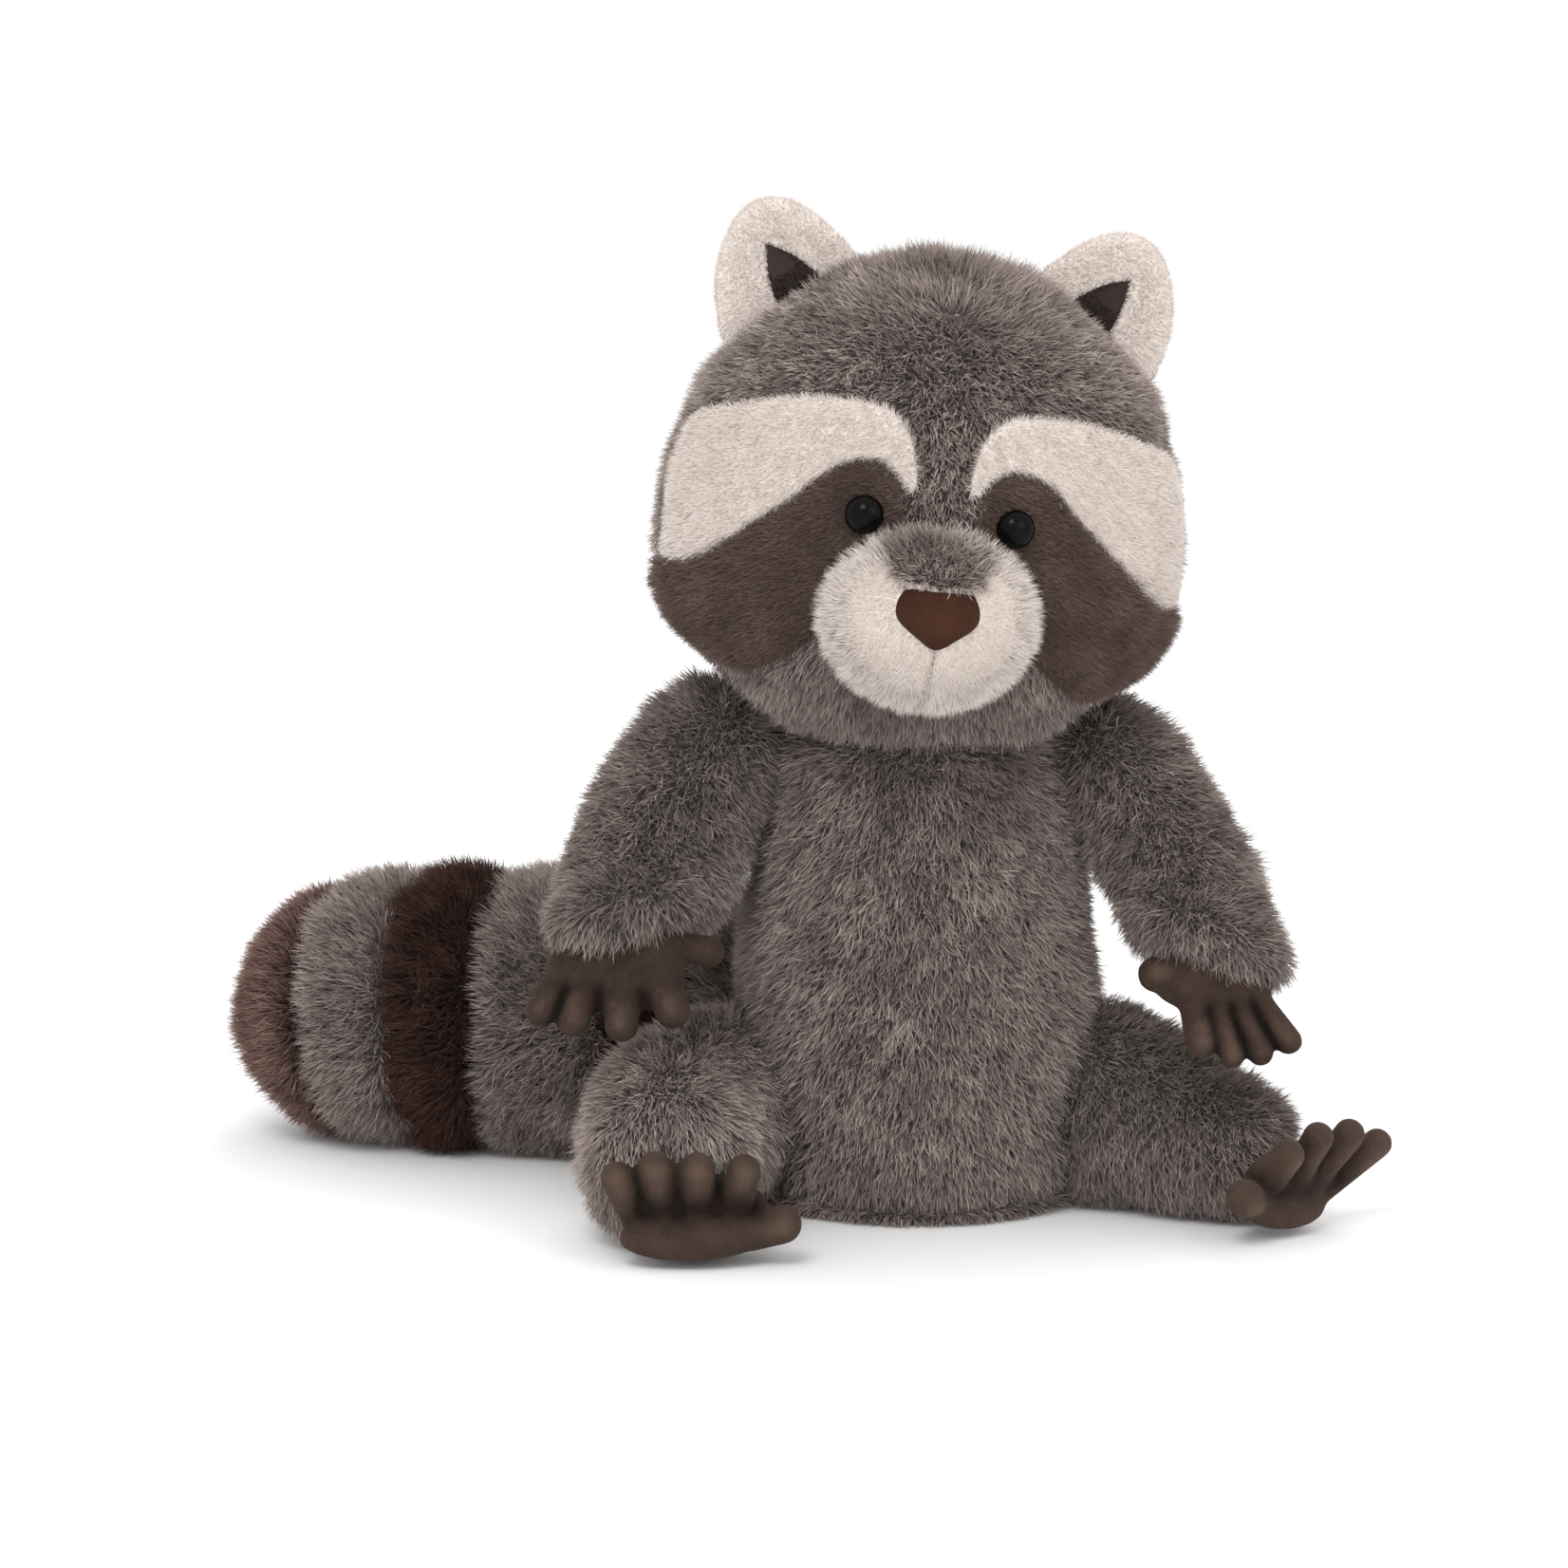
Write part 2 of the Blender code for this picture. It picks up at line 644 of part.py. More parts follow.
def ear_shape(name, side, grow=0.0, finish=None):
    """A leaf-shaped pillow, cupped towards the front."""
    outline = grown_outline(front_outline(EAR_OUTLINE, side), grow)
    middle = outline.mean(axis=0)
    half = EAR_HALF_THICKNESS + grow
    rings = []
    for k in range(-4, 5):
        angle = k / 4 * math.pi / 2
        reach = max(math.cos(angle), 0.04)
        spread = middle + (outline - middle) * reach**0.7
        cup = EAR_CUP * (1 - reach**1.4)
        y = np.full(len(outline), EAR_BACK + half * math.sin(angle) + cup)
        rings.append(np.column_stack([spread[:, 0], y, spread[:, 1]]))
    return loft(name, rings, finish)


def build_face(head, side, word):
    reach = (-PATCH_BACK * HEAD_HALF_DEPTH, -3 * HEAD_HALF_DEPTH)
    brow_line = front_outline(BROW_OUTLINE, side)
    mask_line = front_outline(MASK_OUTLINE, side)
    brow_skin = (brow_line, head_shape, -PATCH_BELOW_FUR, BROW_THICKNESS)
    mask_skin = (mask_line, head_shape, -PATCH_BELOW_FUR, MASK_THICKNESS)
    brow = panel(f"brow_patch_{word}", *brow_skin, reach, "cream_pile")
    mask = panel(f"mask_patch_{word}", *mask_skin, reach, "brown_pile")
    combine(brow, prism(f"cut_brow_{word}", grown_outline(mask_line, SEAM_GAP), *reach), "DIFFERENCE")
    combine(head, recess("brow_" + word, *brow_skin, reach), "DIFFERENCE")
    combine(head, recess("mask_" + word, *mask_skin, reach), "DIFFERENCE")

    eye_cutter = eye_shape(f"cut_eye_{word}", side, SEAM_GAP)
    eye_shape(f"eye_{word}", side, finish="eye_black")
    washer_shape(f"eye_washer_{word}", side, finish="washer_white")
    combine(head, eye_cutter, "DIFFERENCE")
    combine(head, washer_shape(f"cut_washer_{word}", side, SEAM_GAP, bore=False), "DIFFERENCE")
    combine(mask, eye_cutter, "DIFFERENCE")
    combine(brow, eye_cutter, "DIFFERENCE")

    ear = ear_shape(f"ear_{word}", side, finish="cream_pile")
    lining_line = front_outline(LINING_OUTLINE, side)
    ear_reach = (EAR_BACK, EAR_BACK - 4 * EAR_HALF_THICKNESS)

    def host(name, grow=0.0):
        return ear_shape(name, side, grow)

    lining_skin = (lining_line, host, -SEAM_GAP, LINING_THICKNESS)
    lining = panel(f"ear_lining_{word}", *lining_skin, ear_reach, "dark_lining")
    combine(ear, recess("lining_" + word, *lining_skin, ear_reach), "DIFFERENCE")
    for piece in (ear, lining):
        combine(piece, head_shape(f"seat_{piece.name}", SEAM_GAP), "DIFFERENCE")
    return eye_cutter


def build_muzzle(eye_cutters):
    reach = (-MUZZLE_FORWARD, -MUZZLE_FORWARD - 2 * MUZZLE_HALF_DEPTH)
    bridge_line = muzzle_outline(BRIDGE_OUTLINE)
    nose_line = muzzle_outline(NOSE_OUTLINE)
    nose_skin = (nose_line, muzzle_shape, NOSE_PROUD, NOSE_PROUD + NOSE_SUNK)
    bridge_skin = (bridge_line, muzzle_shape, BRIDGE_PROUD, BRIDGE_THICKNESS)
    nose = panel("nose", *nose_skin, reach, "nose_suede")
    bridge = panel("muzzle_bridge", *bridge_skin, reach, "grey_fur")
    nose_seat = prism("cut_bridge_nose", grown_outline(nose_line, SEAM_GAP), *reach)
    head_seat = head_shape("seat_muzzle", SEAM_GAP)
    cuts = [
        head_seat,
        recess("bridge", *bridge_skin, reach),
        recess("nose", *nose_skin, reach),
    ]
    pieces = [nose, bridge]
    combine(bridge, nose_seat, "DIFFERENCE")
    combine(bridge, head_seat, "DIFFERENCE")
    for side, word in ((1, "left"), (-1, "right")):
        cheek = muzzle_shape(f"muzzle_{word}")
        cheek.hide_render = False
        cheek.display_type = "TEXTURED"
        cheek.data.materials.append(material("cream_pile"))
        cheek.data.shade_smooth()
        bm = bmesh.new()
        bmesh.ops.create_cube(bm, size=2 * HEAD_HALF_WIDTH)
        half_gap = side * (HEAD_HALF_WIDTH + SEAM_GAP / 2)
        bmesh.ops.translate(bm, vec=(half_gap, -MUZZLE_FORWARD, -MUZZLE_BELOW_HEAD), verts=bm.verts)
        combine(cheek, object_from(f"keep_muzzle_{word}", bm), "INTERSECT")
        for cutter in cuts:
            combine(cheek, cutter, "DIFFERENCE")
        pieces.append(cheek)
    for piece in pieces[1:]:
        for cutter in eye_cutters:
            combine(piece, cutter, "DIFFERENCE")


def head_centre():
    return Vector((HEAD_SHIFT[0], HEAD_SHIFT[1], TORSO_HEIGHT - HEAD_SINK + HEAD_HALF_HEIGHT))


def build_head():
    """Builds the head in its own frame, then hangs all of it on one empty with the head's tilt."""
    before = set(bpy.data.objects)
    head = head_shape("head", finish="grey_fur")
    eye_cutters = [build_face(head, side, word) for side, word in ((1, "left"), (-1, "right"))]
    build_muzzle(eye_cutters)
    pose = bpy.data.objects.new("head_pose", None)
    bpy.context.scene.collection.objects.link(pose)
    pose.location = head_centre()
    pose.rotation_euler = (0.0, HEAD_ROLL, HEAD_YAW)
    for obj in set(bpy.data.objects) - before - {pose}:
        obj.parent = pose
    combine(head, torso_shape("seat_head", SEAM_GAP), "DIFFERENCE")
    return pose


# Arms, hands, legs and feet


def limb_path(paths, word, level):
    """A limb's path in the toy's frame; level is the height that the path counts from."""
    side = 1 if word == "left" else -1
    return [(side * (TORSO_HALF_WIDTH + out), back, level + up) for out, back, up in paths[word]]


def arm_shape(name, word, grow=0.0, finish=None):
    path = limb_path(ARM_PATHS, word, TORSO_HEIGHT)
    sections = [(radius, radius) for radius in ARM_RADII[word]]
    slant = (ARM_SLANT[word], ARM_SLANT_LENGTH, 1 if word == "right" else -1)
    return tube(name, path, sections, 18, 11, (ARM_ROOT_ROUND, ARM_END_ROUND), grow, finish, slant=slant)


def leg_shape(name, word, grow=0.0, finish=None):
    path = limb_path(LEG_PATHS, word, 0.0)
    rounds = (LEG_ROOT_ROUND, LEG_END_ROUND)
    return tube(name, path, LEG_SECTIONS[word], 20, 11, rounds, grow, finish, floor=0.0)


def capsule(name, start, end, radius, sides=8):
    """A round-ended rod between two points."""
    along = Vector(end) - Vector(start)
    rings = []
    for k in range(1, 3):
        angle = (k / 3 - 1) * math.pi / 2
        across = radius * math.cos(angle)
        rings.append(oval(across, across, radius * math.sin(angle), sides))
    for k in range(3):
        angle = k / 3 * math.pi / 2
        across = radius * math.cos(angle)
        rings.append(oval(across, across, along.length + radius * math.sin(angle), sides))
    rod = loft(name, rings)
    rod.data.transform(Matrix.Translation(start) @ along.to_track_quat("Z", "Y").to_matrix().to_4x4())
    return rod


def mitt_shape(name, finish=None):
    """A palm or sole with four digits and a thumb, all one body."""
    mitt_data = MITTS[name]
    kind, word = name.split("_")
    is_hand = kind == "hand"
    limb = limb_path(ARM_PATHS, word, TORSO_HEIGHT) if is_hand else limb_path(LEG_PATHS, word, 0.0)
    centre = Vector(limb[-1]) + Vector(mitt_data["from_limb_end"])
    palm = HAND_PALM if is_hand else FOOT_SOLE
    radius = FINGER_RADIUS if is_hand else TOE_RADIUS
    digits = Vector(mitt_data["digits_towards"]).normalized()
    thumb = Vector(mitt_data["thumb_towards"])
    thumb = (thumb - digits * thumb.dot(digits)).normalized()
    turn = Matrix((thumb, digits.cross(thumb), digits)).transposed()
    frame = Matrix.Translation(centre) @ turn.to_4x4()
    mitt = ball(name, palm, (0, 0, 0), 16, 8, finish=finish)
    mitt.matrix_world = frame
    for k, (root_x, root_z, tip_x, tip_z) in enumerate(mitt_data["digits"]):
        digit = capsule(f"digit_{k + 1}_{name}", (root_x, 0, root_z), (tip_x, 0, tip_z), radius)
        digit.matrix_world = frame
        combine(mitt, digit, "UNION")
    return mitt


def build_limbs(pose):
    torso_seat = torso_shape("seat_limbs", SEAM_GAP)
    head_seat = head_shape("seat_arms", SEAM_GAP)
    head_seat.parent = pose
    for word in ("left", "right"):
        arm = arm_shape(f"arm_{word}", word, finish="grey_fur")
        leg = leg_shape(f"leg_{word}", word, finish="grey_fur")
        hand = mitt_shape(f"hand_{word}", "suede")
        foot = mitt_shape(f"foot_{word}", "suede")
        arm_seat = arm_shape(f"seat_hand_{word}", word, SEAM_GAP)
        leg_seat = leg_shape(f"seat_foot_{word}", word, SEAM_GAP)
        seats = {arm: (torso_seat, head_seat), leg: (torso_seat,), foot: (leg_seat, torso_seat)}
        seats[hand] = (arm_seat, leg_seat, torso_seat)
        for piece, cutters in seats.items():
            for cutter in cutters:
                combine(piece, cutter, "DIFFERENCE")


# Tail


def build_tail():
    path = [(across, TORSO_HALF_DEPTH + back, up) for across, back, up in TAIL_PATH]
    line = smooth_row(path, 200)
    length = np.linalg.norm(np.diff(line, axis=0), axis=1).sum()
    ends = [length] + [length - seam for seam in TAIL_SEAMS] + [0.0]
    rounds = (TAIL_ROOT_ROUND, TAIL_TIP_ROUND)
    for k, (name, finish) in enumerate(TAIL_BANDS):
        high = ends[k] - (SEAM_GAP / 2 if k else 0.0)
        low = ends[k + 1] + (SEAM_GAP / 2 if k < len(TAIL_BANDS) - 1 else 0.0)
        steps = 8 if k in (0, len(TAIL_BANDS) - 1) else 3
        part = (low / length, high / length)
        band = tube(name, path, TAIL_SECTIONS, 24, steps, rounds, finish=finish, part=part, floor=0.0)
        if k == len(TAIL_BANDS) - 1:
            combine(band, torso_shape("seat_tail", SEAM_GAP), "DIFFERENCE")
            combine(band, leg_shape("seat_tail_leg", "right", SEAM_GAP), "DIFFERENCE")


clear_scene()
build_torso()
head_pose = build_head()
build_limbs(head_pose)
build_tail()
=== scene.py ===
# Seated plush raccoon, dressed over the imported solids: stuffed skins, pile, suede mitts, face
import math

import bpy
import numpy as np
from mathutils import Euler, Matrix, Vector


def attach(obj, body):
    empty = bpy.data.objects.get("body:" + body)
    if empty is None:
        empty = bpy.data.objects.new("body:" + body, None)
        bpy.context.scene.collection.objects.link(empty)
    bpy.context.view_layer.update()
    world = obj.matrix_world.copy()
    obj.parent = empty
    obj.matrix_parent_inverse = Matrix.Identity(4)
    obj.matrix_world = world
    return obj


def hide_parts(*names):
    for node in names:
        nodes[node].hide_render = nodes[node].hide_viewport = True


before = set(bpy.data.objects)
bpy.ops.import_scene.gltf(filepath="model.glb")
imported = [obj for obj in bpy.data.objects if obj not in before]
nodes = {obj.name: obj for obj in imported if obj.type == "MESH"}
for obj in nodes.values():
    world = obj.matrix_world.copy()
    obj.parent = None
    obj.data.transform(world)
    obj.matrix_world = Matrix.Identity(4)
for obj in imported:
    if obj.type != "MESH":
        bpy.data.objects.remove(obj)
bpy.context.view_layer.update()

scene = bpy.context.scene
up = np.array([0.0, 0.0, 1.0])

# Camera, about 1.4 m away and 9.5 degrees above the level
camera = {"place": (-0.03159, -1.36445, 0.32880), "down": 9.5, "lens": 134.24, "sensor": 36.0}

lens = bpy.data.objects.new("camera", bpy.data.cameras.new("camera"))
scene.collection.objects.link(lens)
lens.data.lens = camera["lens"]
lens.data.sensor_width = camera["sensor"]
lens.data.clip_end = 50.0
lens.location = camera["place"]
lens.rotation_euler = (math.radians(90 - camera["down"]), 0.0, 0.0)
bpy.context.scene.camera = lens

# Shapes as the solids have them, in metres: half sizes, and rows of shares of them from bottom to top
torso = {
    "height": 0.124, "halfWidth": 0.0425, "halfDepth": 0.0385, "basePanel": 0.003,
    "shape": [(0, .77, .68), (.035, .86, .79), (.12, .95, .93), (.28, 1, 1), (.48, .99, .98),
              (.68, .93, .93), (.86, .86, .87), (.95, .70, .74), (1, 0, 0)],
}
head = {
    "halfWidth": 0.0615, "halfDepth": 0.0500, "halfHeight": 0.0580, "sink": 0.0130,
    "shift": (0.001, -0.006), "roll": 6.0, "yaw": 3.0, "roundness": 2.15,
    "shape": [(-1, 0, 0), (-.95, .44, .48), (-.76, .74, .76), (-.58, .90, .89), (-.33, 1.0, .97),
              (-.08, 1.005, 1.0), (.24, .943, .97), (.53, .82, .88), (.80, .59, .67), (.93, .35, .42),
              (1, 0, 0)],
}
headCentre = np.array([*head["shift"], torso["height"] - head["sink"] + head["halfHeight"]])
headTurn = np.array(Euler((0.0, math.radians(head["roll"]), math.radians(head["yaw"]))).to_matrix())

# limb paths run outwards from the torso's side, back, and up (from the torso's top for the arms)
arms = {
    "right": {"path": [(-.0055, -.001, -.004), (.0070, -.006, -.0165), (.0175, -.015, -.034),
                       (.027, -.0294, -.0561)],
              "radii": [.0145, .0186, .0203, .0190], "slant": 0.20},
    "left": {"path": [(-.0070, -.001, -.0065), (.0052, -.005, -.0195), (.0170, -.014, -.039),
                      (.0267, -.0272, -.0627)],
             "radii": [.0140, .0157, .0172, .0172], "slant": 0.50},
    "rounds": (0.008, 0.009), "slantOver": 0.026,  # each sleeve's end is cut on a slant, shorter at the thumb
    "hem": (0.0170, 0.0120, 0.0085), "hemAt": {"right": (-.001, 0, -.0130), "left": (-.001, 0, -.0142)},
}
legs = {
    "right": {"path": [(-.0125, .008, .026), (.0058, -.014, .0245), (.0160, -.038, .0225),
                       (.013, -.062, .018)],
              "halves": [(.0190, .0220), (.0205, .0252), (.0212, .0246), (.0200, .0204)]},
    "left": {"path": [(-.0205, .007, .026), (.0025, -.003, .0240), (.0225, -.0145, .0190),
                      (.044, -.0295, .0140)],
             "halves": [(.0190, .0220), (.0205, .0248), (.0180, .0198), (.0140, .0148)]},
    "rounds": (0.012, 0.010),
}
tail = {
    "path": [(0, -.0085, .032), (-.045, .0115, .0335), (-.086, .019, .0335), (-.122, .0265, .0335),
             (-.165, .0445, .0280)],
    "halves": [(.0260, .0260), (.0330, .0330), (.0350, .0350), (.0345, .0345), (.0310, .0290)],
    "rounds": (0.014, 0.030), "furredEnds": (0.012, 0.028),  # root and tip
    "seams": [.0275, .0480, .0670, .1000, .1225],  # back from the tip
    "bands": ["tail_tip_brown", "tail_band_grey_outer", "tail_band_brown_outer", "tail_band_grey_inner",
              "tail_band_brown_inner", "tail_root_grey"],
}


# Curves and grids

def smoothRow(rows, count):
    # Catmull-Rom through rows: half of 2b + (c-a)t + (2a-5b+4c-d)t^2 + (3b-a-3c+d)t^3
    rows = np.array(rows, float)
    ends = np.vstack([2 * rows[0] - rows[1], rows, 2 * rows[-1] - rows[-2]])
    place = np.linspace(0, len(rows) - 1, count + 1)
    start = np.minimum(place.astype(int), len(rows) - 2)
    t = (place - start)[:, None]
    a, b, c, d = (ends[start + k] for k in range(4))
    return 0.5 * (2 * b + (c - a) * t + (2 * a - 5 * b + 4 * c - d) * t**2 + (3 * b - a - 3 * c + d) * t**3)


def smoothLoop(corners, perSide=8):
    # the same curve, closed: each corner is followed by perSide points
    corners = np.array(corners, float)
    t = np.tile(np.arange(perSide) / perSide, len(corners))[:, None]
    a, b, c, d = (np.repeat(np.roll(corners, -step, axis=0), perSide, axis=0) for step in (-1, 0, 1, 2))
    return 0.5 * (2 * b + (c - a) * t + (2 * a - 5 * b + 4 * c - d) * t**2 + (3 * b - a - 3 * c + d) * t**3)


def evenly(line, count):
    # count points at equal steps of arc length along a line
    along = np.concatenate([[0], np.cumsum(np.linalg.norm(np.diff(line, axis=0), axis=1))])
    want = np.linspace(0, along[-1], count)
    return np.stack([np.interp(want, along, line[:, k]) for k in range(line.shape[1])], -1)


def unit(v):
    return v / np.maximum(np.linalg.norm(v, axis=-1, keepdims=True), 1e-12)


def smoothStep(low, high, value):
    # 3t^2 - 2t^3 between low and high
    t = np.clip((value - low) / (high - low), 0, 1)
    return t * t * (3 - 2 * t)


def ripple(points, wavelength, seed, waves=7):
    # a smooth field of about -1..1: a sum of sines along seeded directions near one wavelength
    rng = np.random.default_rng(seed)
    ways = unit(rng.normal(size=(waves, 3))) * (2 * math.pi / wavelength) * rng.uniform(.65, 1.5, (waves, 1))
    return np.sin(points @ ways.T + rng.uniform(0, 2 * math.pi, waves)).sum(-1) / math.sqrt(waves / 2) * 0.7


def closedGrid(name, grid, material=None):
    # rings of points, each closed round; the first and the last ring are gathered into a pole
    rows, cols = grid.shape[:2]
    points = np.vstack([grid[1:-1].reshape(-1, 3), grid[0].mean(0), grid[-1].mean(0)])
    index = np.arange((rows - 2) * cols).reshape(rows - 2, cols)
    beside = np.roll(index, -1, axis=1)
    quads = np.stack([index[:-1], beside[:-1], beside[1:], index[1:]], -1).reshape(-1, 4)
    low = np.stack([beside[0], index[0], np.full(cols, len(points) - 2)], -1)
    high = np.stack([index[-1], beside[-1], np.full(cols, len(points) - 1)], -1)
    three = np.vstack([quads[:, :3], quads[:, [0, 2, 3]], low, high])
    a, b, c = (points[three[:, k]] - points.mean(0) for k in range(3))
    if np.einsum("ij,ij->i", a, np.cross(b, c)).sum() < 0:  # the signed volume tells which way it faces
        quads, low, high = quads[:, ::-1], low[:, ::-1], high[:, ::-1]
    mesh = bpy.data.meshes.new(name)
    mesh.from_pydata(points.tolist(), [], quads.tolist() + low.tolist() + high.tolist())
    mesh.shade_smooth()
    piece = bpy.data.objects.new(name, mesh)
    scene.collection.objects.link(piece)
    if material:
        mesh.materials.append(material)
    return piece


def stackedGrid(form, sizes, sides, levels, grow=0.0, roundness=2.0):
    # level superellipses: x = w cos^(2/n) a, y = d sin^(2/n) a, with w and d from the smoothed rows
    height, halfWidth, halfDepth = sizes
    rows = smoothRow(form, levels)
    low, high = rows[:, 0].min(), rows[:, 0].max()
    middle, stretch = (low + high) / 2, 1 + grow / (height * (high - low) / 2)
    turn = np.arange(sides) * 2 * math.pi / sides
    across = np.sign(np.cos(turn)) * np.abs(np.cos(turn)) ** (2 / roundness)
    back = np.sign(np.sin(turn)) * np.abs(np.sin(turn)) ** (2 / roundness)
    wide = np.maximum(halfWidth * rows[:, 1] + grow, 0.0)[:, None] * across
    deep = np.maximum(halfDepth * rows[:, 2] + grow, 0.0)[:, None] * back
    z = height * (middle + (rows[:, 0] - middle) * stretch)
    return np.stack([wide, deep, np.broadcast_to(z[:, None], wide.shape)], -1)


def tubeLine(path, halves, count=160):
    # the smoothed path and half sizes, with the distance along and the directions ahead, level and upright
    line, sizes = smoothRow(path, count), smoothRow(halves, count)
    along = np.concatenate([[0], np.cumsum(np.linalg.norm(np.diff(line, axis=0), axis=1))])
    ahead = unit(np.gradient(line, axis=0))
    level = unit(np.cross(ahead, up))
    return {"line": line, "sizes": sizes, "along": along, "ahead": ahead, "level": level,
            "upright": np.cross(level, ahead)}


def tubeGrid(tube, rounds, sides, steps, grow=0.0, part=(0.0, 1.0), floor=None):
    # centre + cos(a) level + sin(a) upright, times sqrt(1 - (1 - d/round)^2) within a rounded end
    total = tube["along"][-1]
    first, last = part
    share = first + (last - first) * (1 - np.cos(np.linspace(0, math.pi, steps + 1))) / 2
    reach = np.clip(share * (total + 2 * grow) - grow, -abs(grow), total + abs(grow))
    def at(key):
        rows = tube[key]
        return np.stack([np.interp(reach, tube["along"], rows[:, k]) for k in range(rows.shape[1])], -1)
    beyond = np.where(reach < 0, reach, np.maximum(reach - total, 0))[:, None]
    centre = at("line") + at("ahead") * beyond
    taper = np.ones(len(reach))
    for near, rounding in ((reach + grow, rounds[0] + grow), (total + grow - reach, rounds[1] + grow)):
        inside = np.clip(1 - (1 - np.clip(near / rounding, 0, 1)) ** 2, 0, 1)
        taper = taper * np.where(near < rounding, np.sqrt(inside), 1.0)
    half = (at("sizes") + grow) * taper[:, None]
    turn = np.arange(sides) * 2 * math.pi / sides
    ring = (centre[:, None] + (np.cos(turn)[None] * half[:, :1])[..., None] * at("level")[:, None]
            + (np.sin(turn)[None] * half[:, 1:])[..., None] * at("upright")[:, None])
    if floor is not None:
        ring[..., 2] = np.maximum(ring[..., 2], floor)
    return ring


def limbTube(limb, word, level):
    # the path runs out from the torso's side, and is mirrored for the right
    side = 1 if word == "left" else -1
    path = [(side * (torso["halfWidth"] + out), back, level + rise) for out, back, rise in limb[word]["path"]]
    halves = limb[word].get("halves") or [(radius, radius) for radius in limb[word]["radii"]]
    return tubeLine(path, halves)


def slanted(grid, word):
    # near the end each point moves back along the arm by slant times its distance towards the body
    tube, side = armTubes[word], 1 if word == "left" else -1
    points = grid.reshape(-1, 3)
    k = np.argmin(np.stack([np.linalg.norm(points - q, axis=1) for q in tube["line"][::4]], -1), axis=1) * 4
    inward = unit(np.array([-side, 0.0, 0.0]) + side * tube["ahead"][k] * tube["ahead"][k][:, :1])
    total = tube["along"][-1]
    amount = smoothStep(total - arms["slantOver"], total - 0.002, tube["along"][k]) * arms[word]["slant"]
    across = ((points - tube["line"][k]) * inward).sum(1)
    return (points - tube["ahead"][k] * (amount * across)[:, None]).reshape(grid.shape)


armTubes = {word: limbTube(arms, word, torso["height"]) for word in ("left", "right")}
legTubes = {word: limbTube(legs, word, 0.0) for word in ("left", "right")}
tailTube = tubeLine([(x, torso["halfDepth"] + back, z) for x, back, z in tail["path"]], tail["halves"])


# Where a point lies, as whole arrays: below 1 is inside

def torsoDepth(p, grow=0.0):
    # (x / w)^2 + (y / d)^2, with w and d at the point's level
    rows = smoothRow(torso["shape"], 60)
    level = p[:, 2] / torso["height"]
    wide = np.interp(level, rows[:, 0], rows[:, 1]) * torso["halfWidth"] + grow
    deep = np.interp(level, rows[:, 0], rows[:, 2]) * torso["halfDepth"] + grow
    value = (p[:, 0] / np.maximum(wide, 1e-4)) ** 2 + (p[:, 1] / np.maximum(deep, 1e-4)) ** 2
    return np.where((level < 0) | (level > 1 + grow / torso["height"]), 9.0, value)


def headLocal(p):
    # from the head's middle and in its own turn
    return (p - headCentre) @ headTurn


def headDepth(p, grow=0.0):
    # |x / w|^n + |y / d|^n in the head's own turn, with w and d at the point's level
    rows = smoothRow(head["shape"], 60)
    q = headLocal(p)
    level = q[:, 2] / (head["halfHeight"] + grow)
    wide = np.interp(level, rows[:, 0], rows[:, 1]) * head["halfWidth"] + grow
    deep = np.interp(level, rows[:, 0], rows[:, 2]) * head["halfDepth"] + grow
    power = head["roundness"]
    across, back = np.abs(q[:, 0]) / np.maximum(wide, 1e-4), np.abs(q[:, 1]) / np.maximum(deep, 1e-4)
    return np.where(np.abs(level) > 1, 9.0, across**power + back**power)


def tubeDepth(tube, p, grow=0.0):
    # distance to the nearest of the tube's stations, over its half size there
    best = np.full(len(p), 9.0)
    for k in range(0, len(tube["line"]), 4):
        far = np.linalg.norm(p - tube["line"][k], axis=1) / max(tube["sizes"][k].mean() + grow, 1e-4)
        best = np.minimum(best, far)
    return best


def inPolygon(x, z, outline):
    # even-odd rule over all edges at once
    x0, z0 = outline[:, 0], outline[:, 1]
    x1, z1 = np.roll(x0, -1), np.roll(z0, -1)
    cross = (z0[None] > z[:, None]) != (z1[None] > z[:, None])
    at = x0[None] + (z[:, None] - z0[None]) / np.where(z1 == z0, 1e-9, z1 - z0)[None] * (x1 - x0)[None]
    return ((cross & (x[:, None] < at)).sum(1) % 2) == 1


def fromOutline(x, z, outline):
    # distance to the nearest edge of the outline
    start = outline[None]
    edge = (np.roll(outline, -1, axis=0) - outline)[None]
    to = np.stack([x, z], -1)[:, None] - start
    t = np.clip((to * edge).sum(-1) / np.maximum((edge**2).sum(-1), 1e-12), 0, 1)
    return np.linalg.norm(to - edge * t[..., None], axis=-1).min(1)


# Finishes

def startMaterial(name, roughness=0.9, sheen=0.0, sheenColour=(1, 1, 1)):
    made = bpy.data.materials.new(name)
    made.use_nodes = True
    shader = made.node_tree.nodes["Principled BSDF"]
    shader.inputs["Roughness"].default_value = roughness
    shader.inputs["Specular IOR Level"].default_value = 0.25
    shader.inputs["Sheen Weight"].default_value = sheen
    shader.inputs["Sheen Roughness"].default_value = 0.5
    shader.inputs["Sheen Tint"].default_value = (*sheenColour, 1)
    return made, made.node_tree, shader


def ramp(tree, source, stops):
    node = tree.nodes.new("ShaderNodeValToRGB")
    while len(node.color_ramp.elements) < len(stops):
        node.color_ramp.elements.new(0.5)
    for element, (place, colour) in zip(node.color_ramp.elements, stops):
        element.position = place
        element.color = (*colour, 1) if len(colour) == 3 else (colour[0],) * 3 + (1,)
    tree.links.new(source, node.inputs[0])
    return node.outputs[0]


